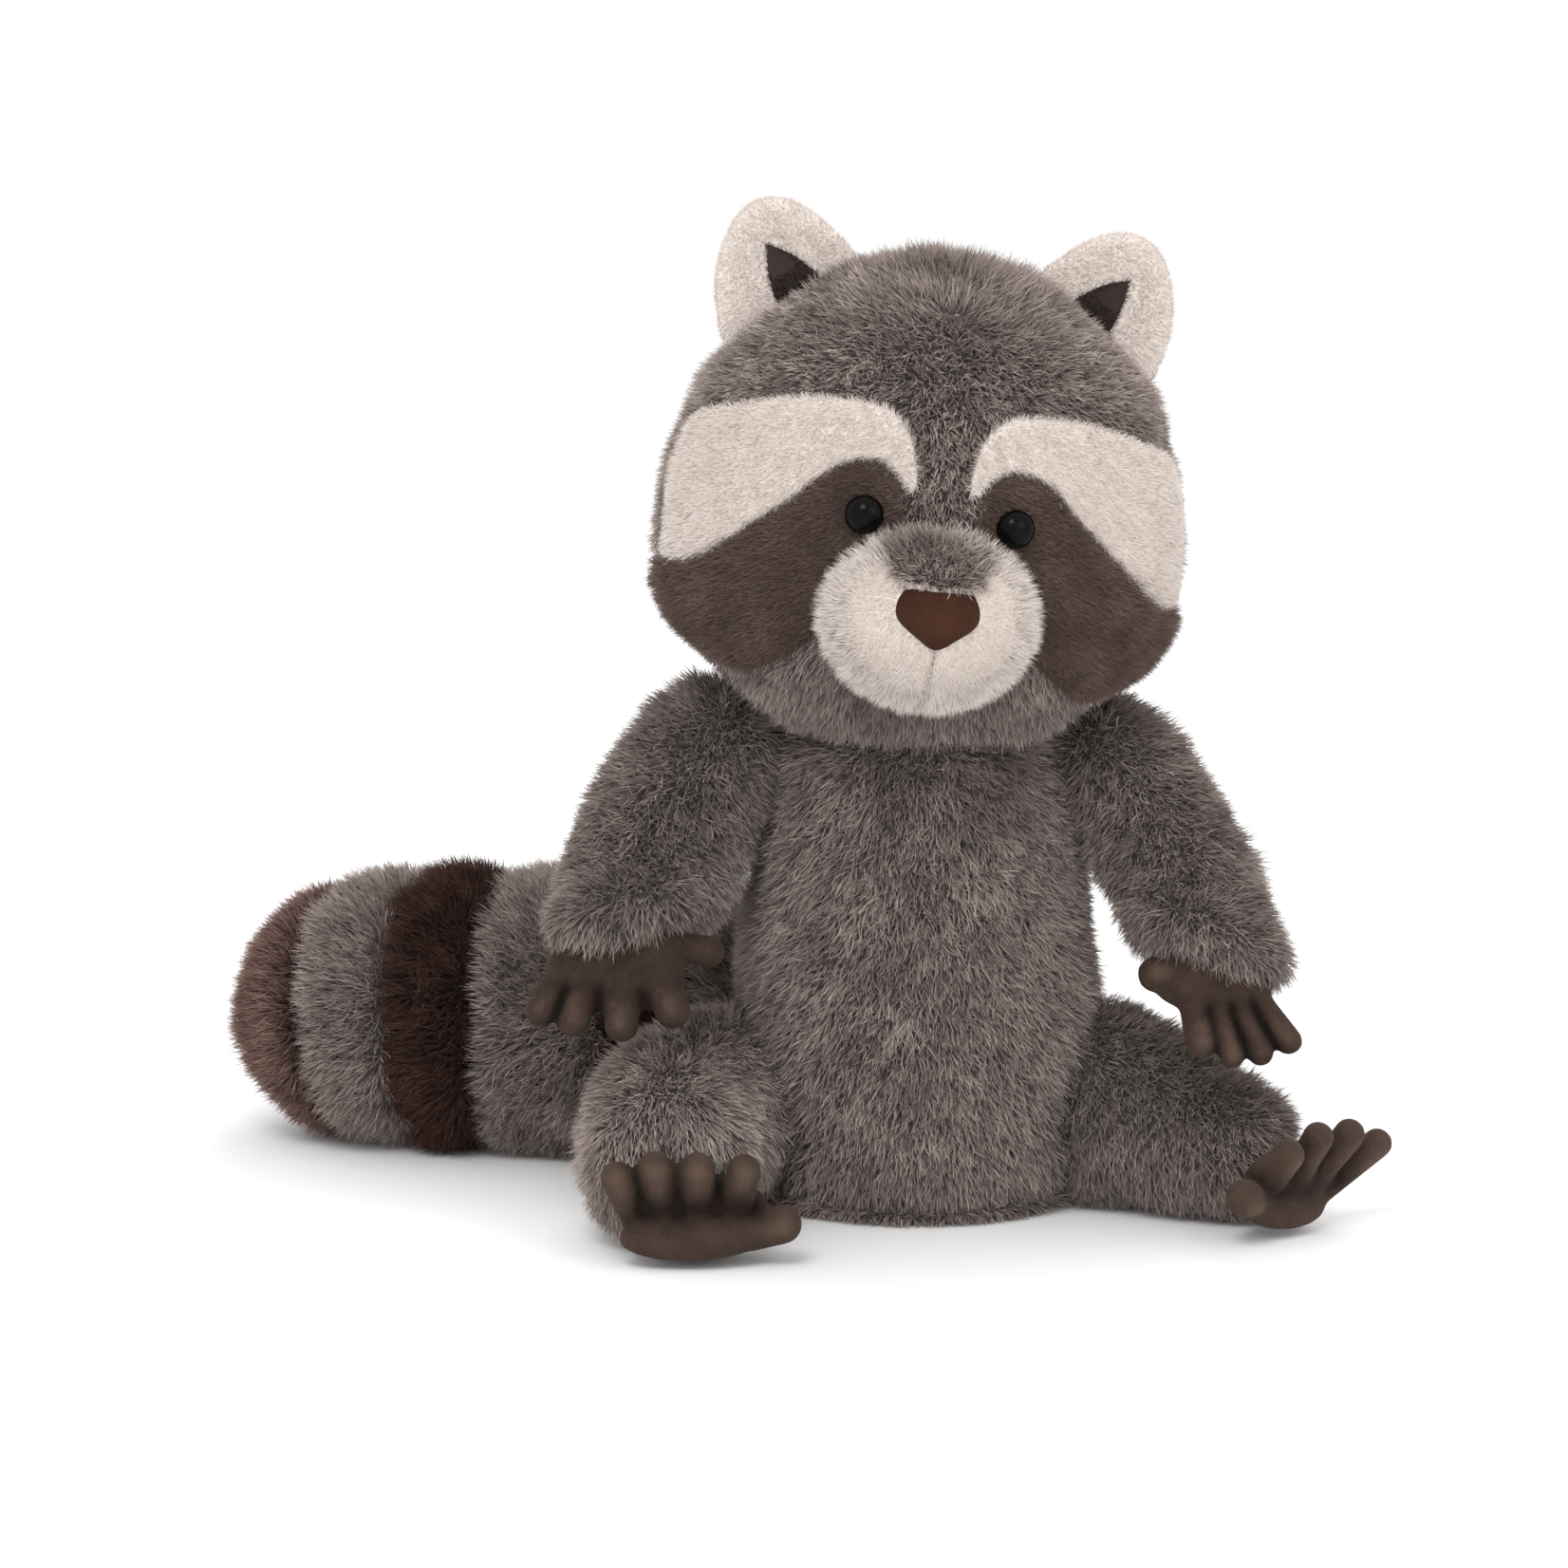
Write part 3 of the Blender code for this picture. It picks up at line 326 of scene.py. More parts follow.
def noise(tree, scale, detail=3.0, rough=0.6):
    where = tree.nodes.new("ShaderNodeTexCoord")
    node = tree.nodes.new("ShaderNodeTexNoise")
    node.inputs["Scale"].default_value = scale
    node.inputs["Detail"].default_value = detail
    node.inputs["Roughness"].default_value = rough
    tree.links.new(where.outputs["Object"], node.inputs["Vector"])
    return node.outputs[0]


def blended(tree, first, second, amount, mode="MIX"):
    node = tree.nodes.new("ShaderNodeMix")
    node.data_type, node.blend_type = "RGBA", mode
    for socket, value in ((node.inputs[0], amount), (node.inputs[6], first), (node.inputs[7], second)):
        if isinstance(value, bpy.types.NodeSocket):
            tree.links.new(value, socket)
        else:
            socket.default_value = value if isinstance(value, float) else (*value, 1)
    return node.outputs[2]


def bumpy(tree, shader, height, strength, distance):
    node = tree.nodes.new("ShaderNodeBump")
    node.inputs["Strength"].default_value = strength
    node.inputs["Distance"].default_value = distance
    tree.links.new(height, node.inputs["Height"])
    tree.links.new(node.outputs[0], shader.inputs["Normal"])


def strandMaterial(name, root, tones, rise=(0.0, 0.45, 1.0), rough=0.75, sheen=0.15, tip=None):
    # u of the strand map picks the strand's own tone, v runs from its root to its tip
    made, tree, shader = startMaterial(name, rough, sheen, (1.0, 0.93, 0.88))
    cut = tree.nodes.new("ShaderNodeUVMap")
    cut.uv_map = "OFBake"
    apart = tree.nodes.new("ShaderNodeSeparateXYZ")
    tree.links.new(cut.outputs[0], apart.inputs[0])
    tone = ramp(tree, apart.outputs[0], tones)
    height = ramp(tree, apart.outputs[1], [(rise[0], (0.0,)), (rise[1], (0.55,)), (rise[2], (1.0,))])
    body = blended(tree, root, tone, height)
    # paler tips: partly the pile's own colour, partly painted light standing in for light shining through the
    # strands at the outline
    if tip:
        body = blended(tree, body, tip, ramp(tree, apart.outputs[1], [(0.6, (0.0,)), (1.0, (0.45,))]))
    tree.links.new(body, shader.inputs["Base Color"])
    return made


def skinMaterial(name, dark, light):
    # the woven ground under the pile: dark, with short tufts in its bump
    made, tree, shader = startMaterial(name, 0.95)
    tree.links.new(ramp(tree, noise(tree, 900, 2), [(0.35, dark), (0.7, light)]), shader.inputs["Base Color"])
    bumpy(tree, shader, noise(tree, 1400, 2), 0.8, 0.0008)
    return made


def pileMaterial(name, dark, light, deep):
    # short velour: broad soft mottling, fine grain and a little sheen
    made, tree, shader = startMaterial(name, 0.92, 0.25, (1.0, 0.94, 0.90))
    broad = ramp(tree, noise(tree, 60, 3), [(0.3, dark), (0.7, light)])
    grain = ramp(tree, noise(tree, 1500, 3), [(0.25, deep), (0.55, (1, 1, 1))])
    tree.links.new(blended(tree, broad, grain, 0.5, "MULTIPLY"), shader.inputs["Base Color"])
    bumpy(tree, shader, noise(tree, 1500, 3), 0.35, 0.0005)
    return made


def suedeMaterial(name, dark, light, paintedHighlight):
    # napped suede: cloudy tone, fine nap, painted shade in its creases and a painted highlight where it
    # stands proud, both read from the crease attribute
    made, tree, shader = startMaterial(name, 0.92, 0.05, (1.0, 0.78, 0.64))
    shader.inputs["Specular IOR Level"].default_value = 0.12
    cloud = ramp(tree, noise(tree, 160, 4, 0.65), [(0.3, dark), (0.72, light)])
    nap = ramp(tree, noise(tree, 1800, 3), [(0.3, (0.62, 0.62, 0.62)), (0.65, (1.15, 1.15, 1.15))])
    body = blended(tree, cloud, nap, 0.7, "MULTIPLY")
    mark = tree.nodes.new("ShaderNodeAttribute")
    mark.attribute_name = "crease"
    # painted highlight from the attribute's upper shares, painted shade from its lower shares
    highlightShare = ramp(tree, mark.outputs["Fac"], [(0.0, (0.0,)), (0.45, (0.0,)), (0.9, (0.55,))])
    pale = blended(tree, body, paintedHighlight, highlightShare)
    shade = ramp(tree, mark.outputs["Fac"], [(0.0, (0.13, 0.105, 0.10)), (0.4, (1, 1, 1))])
    tree.links.new(blended(tree, pale, shade, 1.0, "MULTIPLY"), shader.inputs["Base Color"])
    bumpy(tree, shader, noise(tree, 1100, 4), 0.55, 0.0006)
    return made


finishes = {
    "greySkin": skinMaterial("grey_ground", (.050, .041, .037), (.100, .082, .074)),
    "brownSkin": skinMaterial("brown_ground", (.006, .003, .0025), (.030, .014, .011)),
    "greyFur": strandMaterial("grey_fur_strands", (.098, .0790, .0705),
                              [(0.0, (.115, .092, .082)), (.45, (.270, .216, .194)),
                               (.75, (.430, .352, .318)), (1.0, (.700, .605, .555))], tip=(.60, .52, .475)),
    "brownFur": strandMaterial("brown_fur_strands", (.012, .0068, .0055),
                               [(0.0, (.030, .0125, .0085)), (.5, (.074, .0320, .0225)),
                                (1.0, (.150, .070, .050))],
                               sheen=0.03, tip=(.125, .056, .040)),
    "tipFur": strandMaterial("tail_tip_strands", (.028, .016, .013),
                             [(0.0, (.095, .050, .040)), (.5, (.205, .115, .094)), (1.0, (.370, .230, .195))],
                             sheen=0.05, tip=(.340, .225, .195)),
    "creamPile": pileMaterial("cream_velour", (.645, .575, .530), (.715, .650, .605), (.88, .86, .84)),
    "creamStrands": strandMaterial("cream_strands", (.600, .535, .490),
                                   [(0.0, (.66, .59, .54)), (.5, (.75, .685, .64)), (1.0, (.85, .80, .76))],
                                   (0.0, 0.3, 1.0)),
    "brownPile": pileMaterial("brown_velour", (.066, .039, .031), (.100, .064, .052), (.6, .58, .56)),
    "brownStrands": strandMaterial("brown_pile_strands", (.050, .029, .0225),
                                   [(0.0, (.058, .034, .027)), (.5, (.128, .081, .065)),
                                    (1.0, (.265, .190, .160))],
                                   (0.0, 0.3, 1.0)),
    "darkPile": pileMaterial("dark_lining", (.019, .0115, .0095), (.040, .0265, .022), (.55, .53, .52)),
    "darkStrands": strandMaterial("dark_pile_strands", (.016, .010, .008),
                                  [(0.0, (.022, .014, .011)), (.5, (.044, .029, .024)),
                                   (1.0, (.085, .062, .053))],
                                  (0.0, 0.3, 1.0), sheen=0.05),
    "suede": suedeMaterial("mitt_suede", (.030, .0180, .0135), (.057, .0370, .0280), (.145, .096, .074)),
    "nose": suedeMaterial("nose_suede", (.032, .0112, .0055), (.046, .0165, .0082), (.076, .032, .018)),
}

print("finishes ready")


# Mesh steps that all pieces share

def applied(piece):
    # what the modifiers make becomes the mesh
    bpy.context.view_layer.update()
    seen = piece.evaluated_get(bpy.context.evaluated_depsgraph_get())
    mesh = bpy.data.meshes.new_from_object(seen)
    piece.modifiers.clear()
    piece.data = mesh
    mesh.shade_smooth()


def remeshed(piece, size):
    step = piece.modifiers.new("remesh", "REMESH")
    step.mode = "VOXEL"
    step.voxel_size = size
    applied(piece)


def vertexArray(mesh, key="co"):
    values = np.empty(len(mesh.vertices) * 3)
    mesh.vertices.foreach_get(key, values)
    return values.reshape(-1, 3)


def settled(piece, places):
    # the points go to their places, and none below the floor
    places[:, 2] = np.maximum(places[:, 2], 0.0003)
    piece.data.vertices.foreach_set("co", places.ravel())
    piece.data.update()


def dress(piece, slot, *replaced, fill=None, material=None):
    if material:
        piece.data.materials.clear()
        piece.data.materials.append(material)
    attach(piece, "root")
    if replaced:
        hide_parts(*replaced)
    return piece


# Hands and feet: suede mitts. Each is set out flat, digits up and thumb to the right, then placed.
# front says which way the seen side lies. Rods are (root x, root z, tip x, tip z, radius, forward at tip).
# Bodies are (x, forward, z) and half sizes: palms, and the pads behind the hollow and under it for the feet
# tone is each mitt's base share of the suede's tone, set lower on the hands as painted shade
mitts = {
    "voxel": 0.00092, "smoothing": (0.5, 4),
    "hand_right": {
        "offset": (.0000, -.0126, -.0034), "digits": (-.05, -.35, -.93), "thumb": (1, -.10, 0),
        "front": 1, "tone": 0.28, "gapFrom": .0030,
        "rods": [(-.0140, .003, -.0176, .0109, .0037, .001), (-.0083, .003, -.0096, .0131, .0038, .002),
                 (.0008, .003, .0015, .0137, .0039, .002), (.0105, .001, .0130, .0100, .0040, .001),
                 (.0110, -.006, .0206, -.0046, .0036, -.001)],
        "bodies": [((-.001, .0004, .0012), (.0165, .0062, .0096)),
                   ((.0060, 0, -.0045), (.0100, .0068, .0075))],
    },
    "hand_left": {
        "offset": (-.0002, -.0098, -.0048), "digits": (.15, -.30, -.94), "thumb": (-1, -.15, -.10),
        "front": -1, "tone": 0.38, "gapFrom": -.001,
        "rods": [(-.0088, .001, -.0148, .0124, .0031, .000), (-.0042, .002, -.0076, .0144, .0029, .0005),
                 (.0006, .002, -.0006, .0141, .0029, .0015), (.0060, .000, .0063, .0100, .0037, .003),
                 (.0075, -.007, .0140, -.0073, .0041, .001)],
        "bodies": [((.0040, 0, -.0060), (.0110, .0070, .0080)),
                   ((-.0030, 0, -.0015), (.0100, .0066, .0072))],
    },
    "foot_right": {
        "offset": (.0035, -.0035, -.0070), "digits": (0, -.06, 1), "thumb": (1, .05, .05),
        "front": -1, "tone": 0.50, "gapFrom": -.001,
        "rods": [(-.0150, .003, -.0178, .0110, .0037, .003), (-.0082, .003, -.0091, .0130, .0042, .004),
                 (.0004, .003, .0005, .0127, .0041, .004), (.0095, .003, .0112, .0120, .0039, .003),
                 (.0120, -.004, .0200, -.0010, .0045, .002)],
        "bodies": [((0, -.0030, .0005), (.0175, .0066, .0095)),
                   ((-.001, .0014, -.0042), (.0165, .0070, .0052))],
    },
    "foot_left": {
        "offset": (.0015, -.0055, -.0032), "digits": (.42, -.34, .84), "thumb": (-.74, -.67, .05),
        "front": 1, "tone": 0.56, "gapFrom": -.001,
        "rods": [(-.0080, -.0035, -.0200, .0122, .0035, .000), (-.0043, .0030, -.0080, .0158, .0036, -.0005),
                 (.0034, .0040, .0030, .0158, .0036, -.0005), (.0115, .0040, .0126, .0125, .0038, .001),
                 (.0120, -.003, .0206, .0008, .0043, .002)],
        "bodies": [((.001, -.0025, .0010), (.0150, .0062, .0090)),
                   ((.003, .0006, -.0040), (.0138, .0070, .0050))],
    },
}


def ovalGrid(half, centre=(0, 0, 0)):
    # an ellipsoid: x = a sin t cos u, y = b sin t sin u, z = c cos t
    away, turn = np.linspace(0, math.pi, 30)[:, None], np.arange(40)[None] * 2 * math.pi / 40
    x, y, z = np.sin(away) * np.cos(turn), np.sin(away) * np.sin(turn), np.cos(away) + 0 * turn
    return np.stack([x, y, z], -1) * np.array(half) + np.array(centre)


def rodGrid(start, end, radius):
    # a round-ended rod: circles of radius * sqrt(1 - (d/radius)^2) at both ends, a little fuller at the tip
    start, end = np.array(start), np.array(end)
    length = np.linalg.norm(end - start)
    ahead = (end - start) / length
    beside = unit(np.cross(ahead, [0, 1, 0]))
    thick = np.cross(beside, ahead)
    curve = np.linspace(0, math.pi / 2, 9)
    reach = np.concatenate([-radius * np.cos(curve), np.linspace(0, length, 12)[1:-1],
                            length + radius * np.sin(curve)])
    size = np.concatenate([radius * np.sin(curve), np.full(10, radius), radius * np.cos(curve)])
    size = size * (0.92 + 0.12 * np.clip(reach / length, 0, 1))
    turn = np.arange(24) * 2 * math.pi / 24
    return (start + reach[:, None, None] * ahead + (size[:, None] * np.cos(turn))[..., None] * beside
            + (size[:, None] * np.sin(turn))[..., None] * thick)


def mittPlace(name):
    # where the mitt's middle lies, and the turn whose columns are thumb, digits x thumb and digits
    data, (kind, word) = mitts[name], name.split("_")
    line = (armTubes if kind == "hand" else legTubes)[word]["line"]
    digits = unit(np.array(data["digits"], float))
    thumb = np.array(data["thumb"], float)
    thumb = unit(thumb - digits * thumb.dot(digits))
    return line[-1] + np.array(data["offset"]), np.stack([thumb, np.cross(digits, thumb), digits], -1)


def meshPiece(name, verts, corners, starts):
    # a mesh from whole arrays: points, the faces' corners in turn, and where each face starts
    mesh = bpy.data.meshes.new(name)
    mesh.vertices.add(len(verts))
    mesh.vertices.foreach_set("co", verts.ravel().astype(np.float32))
    mesh.loops.add(len(corners))
    mesh.loops.foreach_set("vertex_index", corners.astype(np.int32))
    mesh.polygons.add(len(starts))
    mesh.polygons.foreach_set("loop_start", starts.astype(np.int32))
    mesh.update(calc_edges=True)
    piece = bpy.data.objects.new(name, mesh)
    scene.collection.objects.link(piece)
    return piece


def joined(pieces, name):
    # all shells in one mesh, which the remesh then makes one skin
    verts, corners, starts = np.empty((0, 3)), np.empty(0, int), np.empty(0, int)
    for mesh in [piece.data for piece in pieces]:
        corner, start = np.empty(len(mesh.loops), np.int32), np.empty(len(mesh.polygons), np.int32)
        mesh.loops.foreach_get("vertex_index", corner)
        mesh.polygons.foreach_get("loop_start", start)
        starts = np.append(starts, start + len(corners))
        corners = np.append(corners, corner + len(verts))
        verts = np.vstack([verts, vertexArray(mesh)])
    for piece in pieces:
        bpy.data.objects.remove(piece)
    return meshPiece(name, verts, corners, starts)


# How the suede's tone follows the digits, with painted shade in the gaps and a foot's hollow and a painted
# highlight on each digit's seen side: widths and places in metres, then shares of the tone
nap = {
    "gapHalf": 0.0027, "gapReach": (0.0070, 0.0036), "gapRise": 0.005, "gapPaintedShade": 0.46,
    "proudHalf": 0.0024, "proudFrom": (0.0018, 0.0045), "proudAlong": (0.3, 0.9), "proudPaintedHighlight": 0.34,
    "hollowAt": 0.0030, "hollowHalf": 0.0036, "hollowFrom": (-0.002, 0.001),
    "hollowEnds": (0.0175, 0.0125), "hollowPaintedShade": 0.38,
}


def bell(distance, half):
    # e^-(d/half)^2
    return np.exp(-((distance / half) ** 2))


def mitt(name):
    data, (place, turn) = mitts[name], mittPlace(name)
    front = data["front"]
    shells = [closedGrid("body", ovalGrid(half, (x, front * y, z))) for (x, y, z), half in data["bodies"]]
    rods = np.array(data["rods"])
    start = np.stack([rods[:, 0], 0 * rods[:, 0], rods[:, 1]], -1)
    end = np.stack([rods[:, 2], front * rods[:, 5], rods[:, 3]], -1)
    shells += [closedGrid("digit", rodGrid(a, b, radius)) for a, b, radius in zip(start, end, rods[:, 4])]
    piece = joined(shells, name + "_mitt")
    remeshed(piece, mitts["voxel"])
    smooth = piece.modifiers.new("smooth", "SMOOTH")
    smooth.factor, smooth.iterations = mitts["smoothing"]
    applied(piece)
    # painted shade between two digits and in a foot's hollow, painted highlight where a digit stands proud on
    # its seen side
    local = vertexArray(piece.data)
    edge = end - start
    t = np.clip(((local[:, None] - start[None]) * edge[None]).sum(-1) / (edge**2).sum(-1)[None], 0, 1)
    away = local[:, None] - start[None] - t[..., None] * edge[None]
    far = np.sort(np.linalg.norm(away[..., [0, 2]], axis=-1), axis=1)
    seen = local[:, 1] * front
    between = bell(far[:, 1] - far[:, 0], nap["gapHalf"]) * smoothStep(*nap["gapReach"], far[:, 0]) \
        * smoothStep(data["gapFrom"], data["gapFrom"] + nap["gapRise"], local[:, 2])
    proud = smoothStep(*nap["proudFrom"], seen) * bell(far[:, 0], nap["proudHalf"]) \
        * smoothStep(*nap["proudAlong"], t.max(1))
    hollow = bell(local[:, 2] - nap["hollowAt"], nap["hollowHalf"]) * smoothStep(*nap["hollowFrom"], seen) \
        * smoothStep(*nap["hollowEnds"], np.abs(local[:, 0])) * name.startswith("foot")
    dark = np.clip(nap["gapPaintedShade"] * between + nap["hollowPaintedShade"] * hollow, 0, nap["gapPaintedShade"])
    tone = data["tone"] + nap["proudPaintedHighlight"] * proud - dark
    mark = piece.data.attributes.new("crease", "FLOAT", "POINT")
    mark.data.foreach_set("value", np.clip(tone, 0, 1).astype(np.float32))
    places = local @ turn.T + place
    settled(piece, places)
    return dress(piece, "suede", name, fill=0.5, material=finishes["suede"])


# Stuffed skins: each starts under the pile, is remeshed and swells under the stuffing's pressure

stuffing = {"under": 0.0009, "start": 0.0024, "voxel": 0.0052, "pressure": 4.5, "frames": 20, "cap": 0.0020,
            "mass": 0.15, "stiffness": 12, "quality": 4}


def stuffed(pieces):
    # one run of the cloth solver for all; no point moves further than the cap
    for piece in pieces:
        remeshed(piece, stuffing["voxel"])
        cloth = piece.modifiers.new("stuffing", "CLOTH")
        cloth.settings.quality = stuffing["quality"]
        cloth.settings.mass = stuffing["mass"]
        cloth.settings.tension_stiffness = stuffing["stiffness"]
        cloth.settings.compression_stiffness = stuffing["stiffness"]
        cloth.settings.use_pressure = True
        cloth.settings.uniform_pressure_force = stuffing["pressure"]
        cloth.settings.effector_weights.gravity = 0
        cloth.collision_settings.use_collision = False
    for step in range(1, stuffing["frames"] + 1):
        scene.frame_set(step)
    swollen = []
    for piece in pieces:
        seen = piece.evaluated_get(bpy.context.evaluated_depsgraph_get())
        start, end = vertexArray(piece.data), vertexArray(seen.data)
        move = end - start
        far = np.linalg.norm(move, axis=1, keepdims=True)
        swollen.append(start + move * np.minimum(1, stuffing["cap"] / np.maximum(far, 1e-9)))
    scene.frame_set(1)
    for piece, places in zip(pieces, swollen):
        piece.modifiers.clear()
        piece.data.vertices.foreach_set("co", places.ravel())
        piece.data.update()
    for piece in pieces:
        smooth = piece.modifiers.new("smooth", "SUBSURF")
        smooth.levels = smooth.render_levels = 1
        applied(piece)
        settled(piece, vertexArray(piece.data))


under = stuffing["start"]
torsoSizes = (torso["height"], torso["halfWidth"], torso["halfDepth"])
headSizes = (head["halfHeight"], head["halfWidth"], head["halfDepth"])
skins = {}
torsoGrid = stackedGrid(torso["shape"], torsoSizes, 64, 48, -under)
torsoGrid[..., 2] = np.maximum(torsoGrid[..., 2], torso["basePanel"] + 0.0006)
skins["torso"] = closedGrid("torso_skin", torsoGrid)
headGrid = stackedGrid(head["shape"], headSizes, 72, 56, -under, head["roundness"])
skins["head"] = closedGrid("head_skin", headGrid @ headTurn.T + headCentre)
for word in ("left", "right"):
    sleeve = slanted(tubeGrid(armTubes[word], arms["rounds"], 40, 40, -under), word)
    sleeve = closedGrid(f"arm_{word}_sleeve", sleeve)
    place, turn = mittPlace("hand_" + word)
    oval = ovalGrid(arms["hem"]) + np.array(arms["hemAt"][word])
    oval[..., 2] -= arms[word]["slant"] * oval[..., 0]
    hem = closedGrid(f"arm_{word}_hem", oval @ turn.T + place)
    skins["arm_" + word] = joined([sleeve, hem], f"arm_{word}_skin")
    skins["leg_" + word] = closedGrid(
        f"leg_{word}_skin", tubeGrid(legTubes[word], legs["rounds"], 44, 40, -under, floor=0.0006))
tailLength = tailTube["along"][-1]
tailEnds = [tailLength] + [tailLength - seam for seam in tail["seams"]] + [0.0]
for k, band in enumerate(tail["bands"]):
    high, low = tailEnds[k] - (0.0004 if k else 0.0), tailEnds[k + 1] + (0.0004 if k < 5 else 0.0)
    ring = tubeGrid(tailTube, tail["rounds"], 48, 16, -under, (low / tailLength, high / tailLength), 0.0006)
    low, high = (0.97 * end + 0.03 * end.mean(1, keepdims=True) for end in (ring[:1], ring[-1:]))
    skins[band] = closedGrid(band + "_skin", np.concatenate([ring[:1], low, ring, high, ring[-1:]]))
stuffed(list(skins.values()))
rows, turn = smoothRow(torso["shape"], 60), np.arange(64) * math.pi / 32
rise = np.linspace(0.0004, torso["basePanel"], 7)
wide, deep = (np.interp(rise / torso["height"], rows[:, 0], rows[:, k]) * torso[size] - 0.0004
              for k, size in ((1, "halfWidth"), (2, "halfDepth")))
rim = np.stack([wide[:, None] * np.cos(turn), deep[:, None] * np.sin(turn), rise[:, None] + 0 * turn], -1)
rim = np.concatenate([rim[:1] * [.5, .5, 1], rim, rim[-1:] * [.5, .5, 1]])
skins["torso_base_panel"] = closedGrid("base_skin", rim)
for node, piece in skins.items():
    brown = "brown" in node
    dress(piece, "tail_brown" if brown else "grey_fur", node, fill=0.8,
          material=finishes["brownSkin" if brown else "greySkin"])
print("skins stuffed:", len(skins))


# Pile: thousands of flat strands standing on a skin

def standing(piece, perArea, seed):
    # roots spread evenly by area: one in each equal share of the summed triangle areas
    mesh = piece.data
    mesh.calc_loop_triangles()
    corner = np.empty(len(mesh.loop_triangles) * 3, int)
    mesh.loop_triangles.foreach_get("vertices", corner)
    corner = corner.reshape(-1, 3)
    co, normal = vertexArray(mesh), vertexArray(mesh, "normal")
    a, b, c = (co[corner[:, k]] for k in range(3))
    area = np.linalg.norm(np.cross(b - a, c - a), axis=1) / 2
    total = np.cumsum(area)
    rng = np.random.default_rng(seed)
    count = int(total[-1] * perArea)
    pick = np.searchsorted(total, (np.arange(count) + rng.random(count)) / count * total[-1] * 0.999999)
    r, s = np.sqrt(rng.random(count)), rng.random(count)
    weights = np.stack([1 - r, r * (1 - s), r * s], -1)
    roots = np.einsum("ij,ijk->ik", weights, co[corner[pick]])
    normals = unit(np.einsum("ij,ijk->ik", weights, normal[corner[pick]]))
    return roots, normals, rng


def strandGroup(rows, halves, tone, levels):
    # rows of centre points from root to tip: a row with a half width is a pair of points, one without is one
    points, marks, place = [], [], []
    for row, half, level in zip(rows, halves, levels):
        sides = (0.0,) if half is None else (-1.0, 1.0)
        place.append([len(points) + k for k in range(len(sides))])
        points += [row if half is None else row + side * half for side in sides]
        marks += [(np.clip(tone + 0.012 * side, 0.004, 0.996), np.full(len(tone), level)) for side in sides]
    faces = []
    for low, high in zip(place[:-1], place[1:]):
        if len(high) == 2:
            faces.append((low[0], high[1], high[0]))
        if len(low) == 2:
            faces.append((low[0], low[1], high[-1]))
    corner = np.arange(len(tone))[:, None, None] * len(points) + np.array(faces)[None]
    u, v = (np.stack([mark[k] for mark in marks], 1).ravel() for k in (0, 1))
    return np.stack(points, 1).reshape(-1, 3), corner.reshape(-1), u, v


def strandMesh(name, groups, material):
    # groups of strands in one mesh, with their map: u is the tone, v the height
    verts, corner, u, v = zip(*(strandGroup(*group) for group in groups))
    starts = np.concatenate([[0], np.cumsum([len(part) for part in verts])])
    corner = np.concatenate([part + start for part, start in zip(corner, starts)])
    verts, u, v = np.vstack(verts), np.concatenate(u), np.concatenate(v)
    verts[:, 2] = np.maximum(verts[:, 2], 0.0002)
    piece = meshPiece(name, verts, corner, np.arange(0, len(corner), 3))
    strandMap = piece.data.uv_layers.new(name="OFBake")
    strandMap.data.foreach_set("uv", np.stack([u[corner], v[corner]], -1).ravel().astype(np.float32))
    piece.data.materials.append(material)
    return piece


# what all long strands share; odd is the share of strands of any tone, and the crease share is painted shade
# on the pile beside other bodies
strand = {"sunk": 0.0004, "lengths": (0.7, 1.2), "fineLength": 0.94, "fineWidth": 1.15, "odd": 0.015,
          "paintedCreaseShade": 0.50}


def fur(name, skin, look, material, slot, comb, keep, seed, shorter=None, beside=None):
    # direction = normal + lean * comb + tuft * ripple + stray * noise; the upper half bends on by the curl.
    # The guard hairs are bent, the finer hairs between them straight
    roots, normals, rng = standing(skin, look["density"] * 1e6, seed)
    kept = keep(roots, normals)
    roots, normals = roots[kept], normals[kept]
    count = len(roots)
    flow = comb(roots, normals)
    tuft = np.stack([ripple(roots, look["tuftSize"], seed + 11 + k) for k in range(3)], -1)
    stray = rng.normal(size=(count, 3))
    way = unit(normals + look["lean"] * flow + look["tuft"] * tuft + look["stray"] * stray)
    wild = rng.normal(size=(count, 3))
    bent = unit(way + look["curl"] * flow + look["tuft"] * 0.5 * tuft + 0.5 * look["stray"] * wild)
    length = look["length"] * rng.uniform(*strand["lengths"], count)
    length = length * (1 + 0.15 * ripple(roots, 0.02, seed + 5))
    if shorter is not None:
        length = length * shorter(roots)
    length = length[:, None]
    root = roots - normals * strand["sunk"]
    half = unit(np.cross(way, rng.normal(size=(count, 3)))) * look["width"] / 2
    tone = look["tone"] + 0.10 * ripple(roots, look["mottle"], seed + 3)
    tone = tone + look["spread"] * rng.normal(size=count)
    tone = tone + look["blotch"] * ripple(roots, look["blotchSize"], seed + 23)
    # painted shade: the tone is lowered where the root lies close to another body or under the chin
    if beside is not None:
        tone = tone - strand["paintedCreaseShade"] * beside(roots)
    tone = np.clip(np.where(rng.random(count) < strand["odd"], rng.random(count), tone), 0, 1)
    guard = rng.random(count) < look["guard"]
    middle = root + way * length * 0.5
    straight = root + unit(way + 0.5 * bent) * length * strand["fineLength"]
    bends = ([part[guard] for part in (root, middle, middle + bent * length * 0.5)],
             [None, half[guard], None], tone[guard], (0.01, 0.5, 0.99))
    fine = ([root[~guard], straight[~guard]], [half[~guard] * strand["fineWidth"], None], tone[~guard],
            (0.01, 0.99))
    return dress(strandMesh(name, [bends, fine], material), slot)


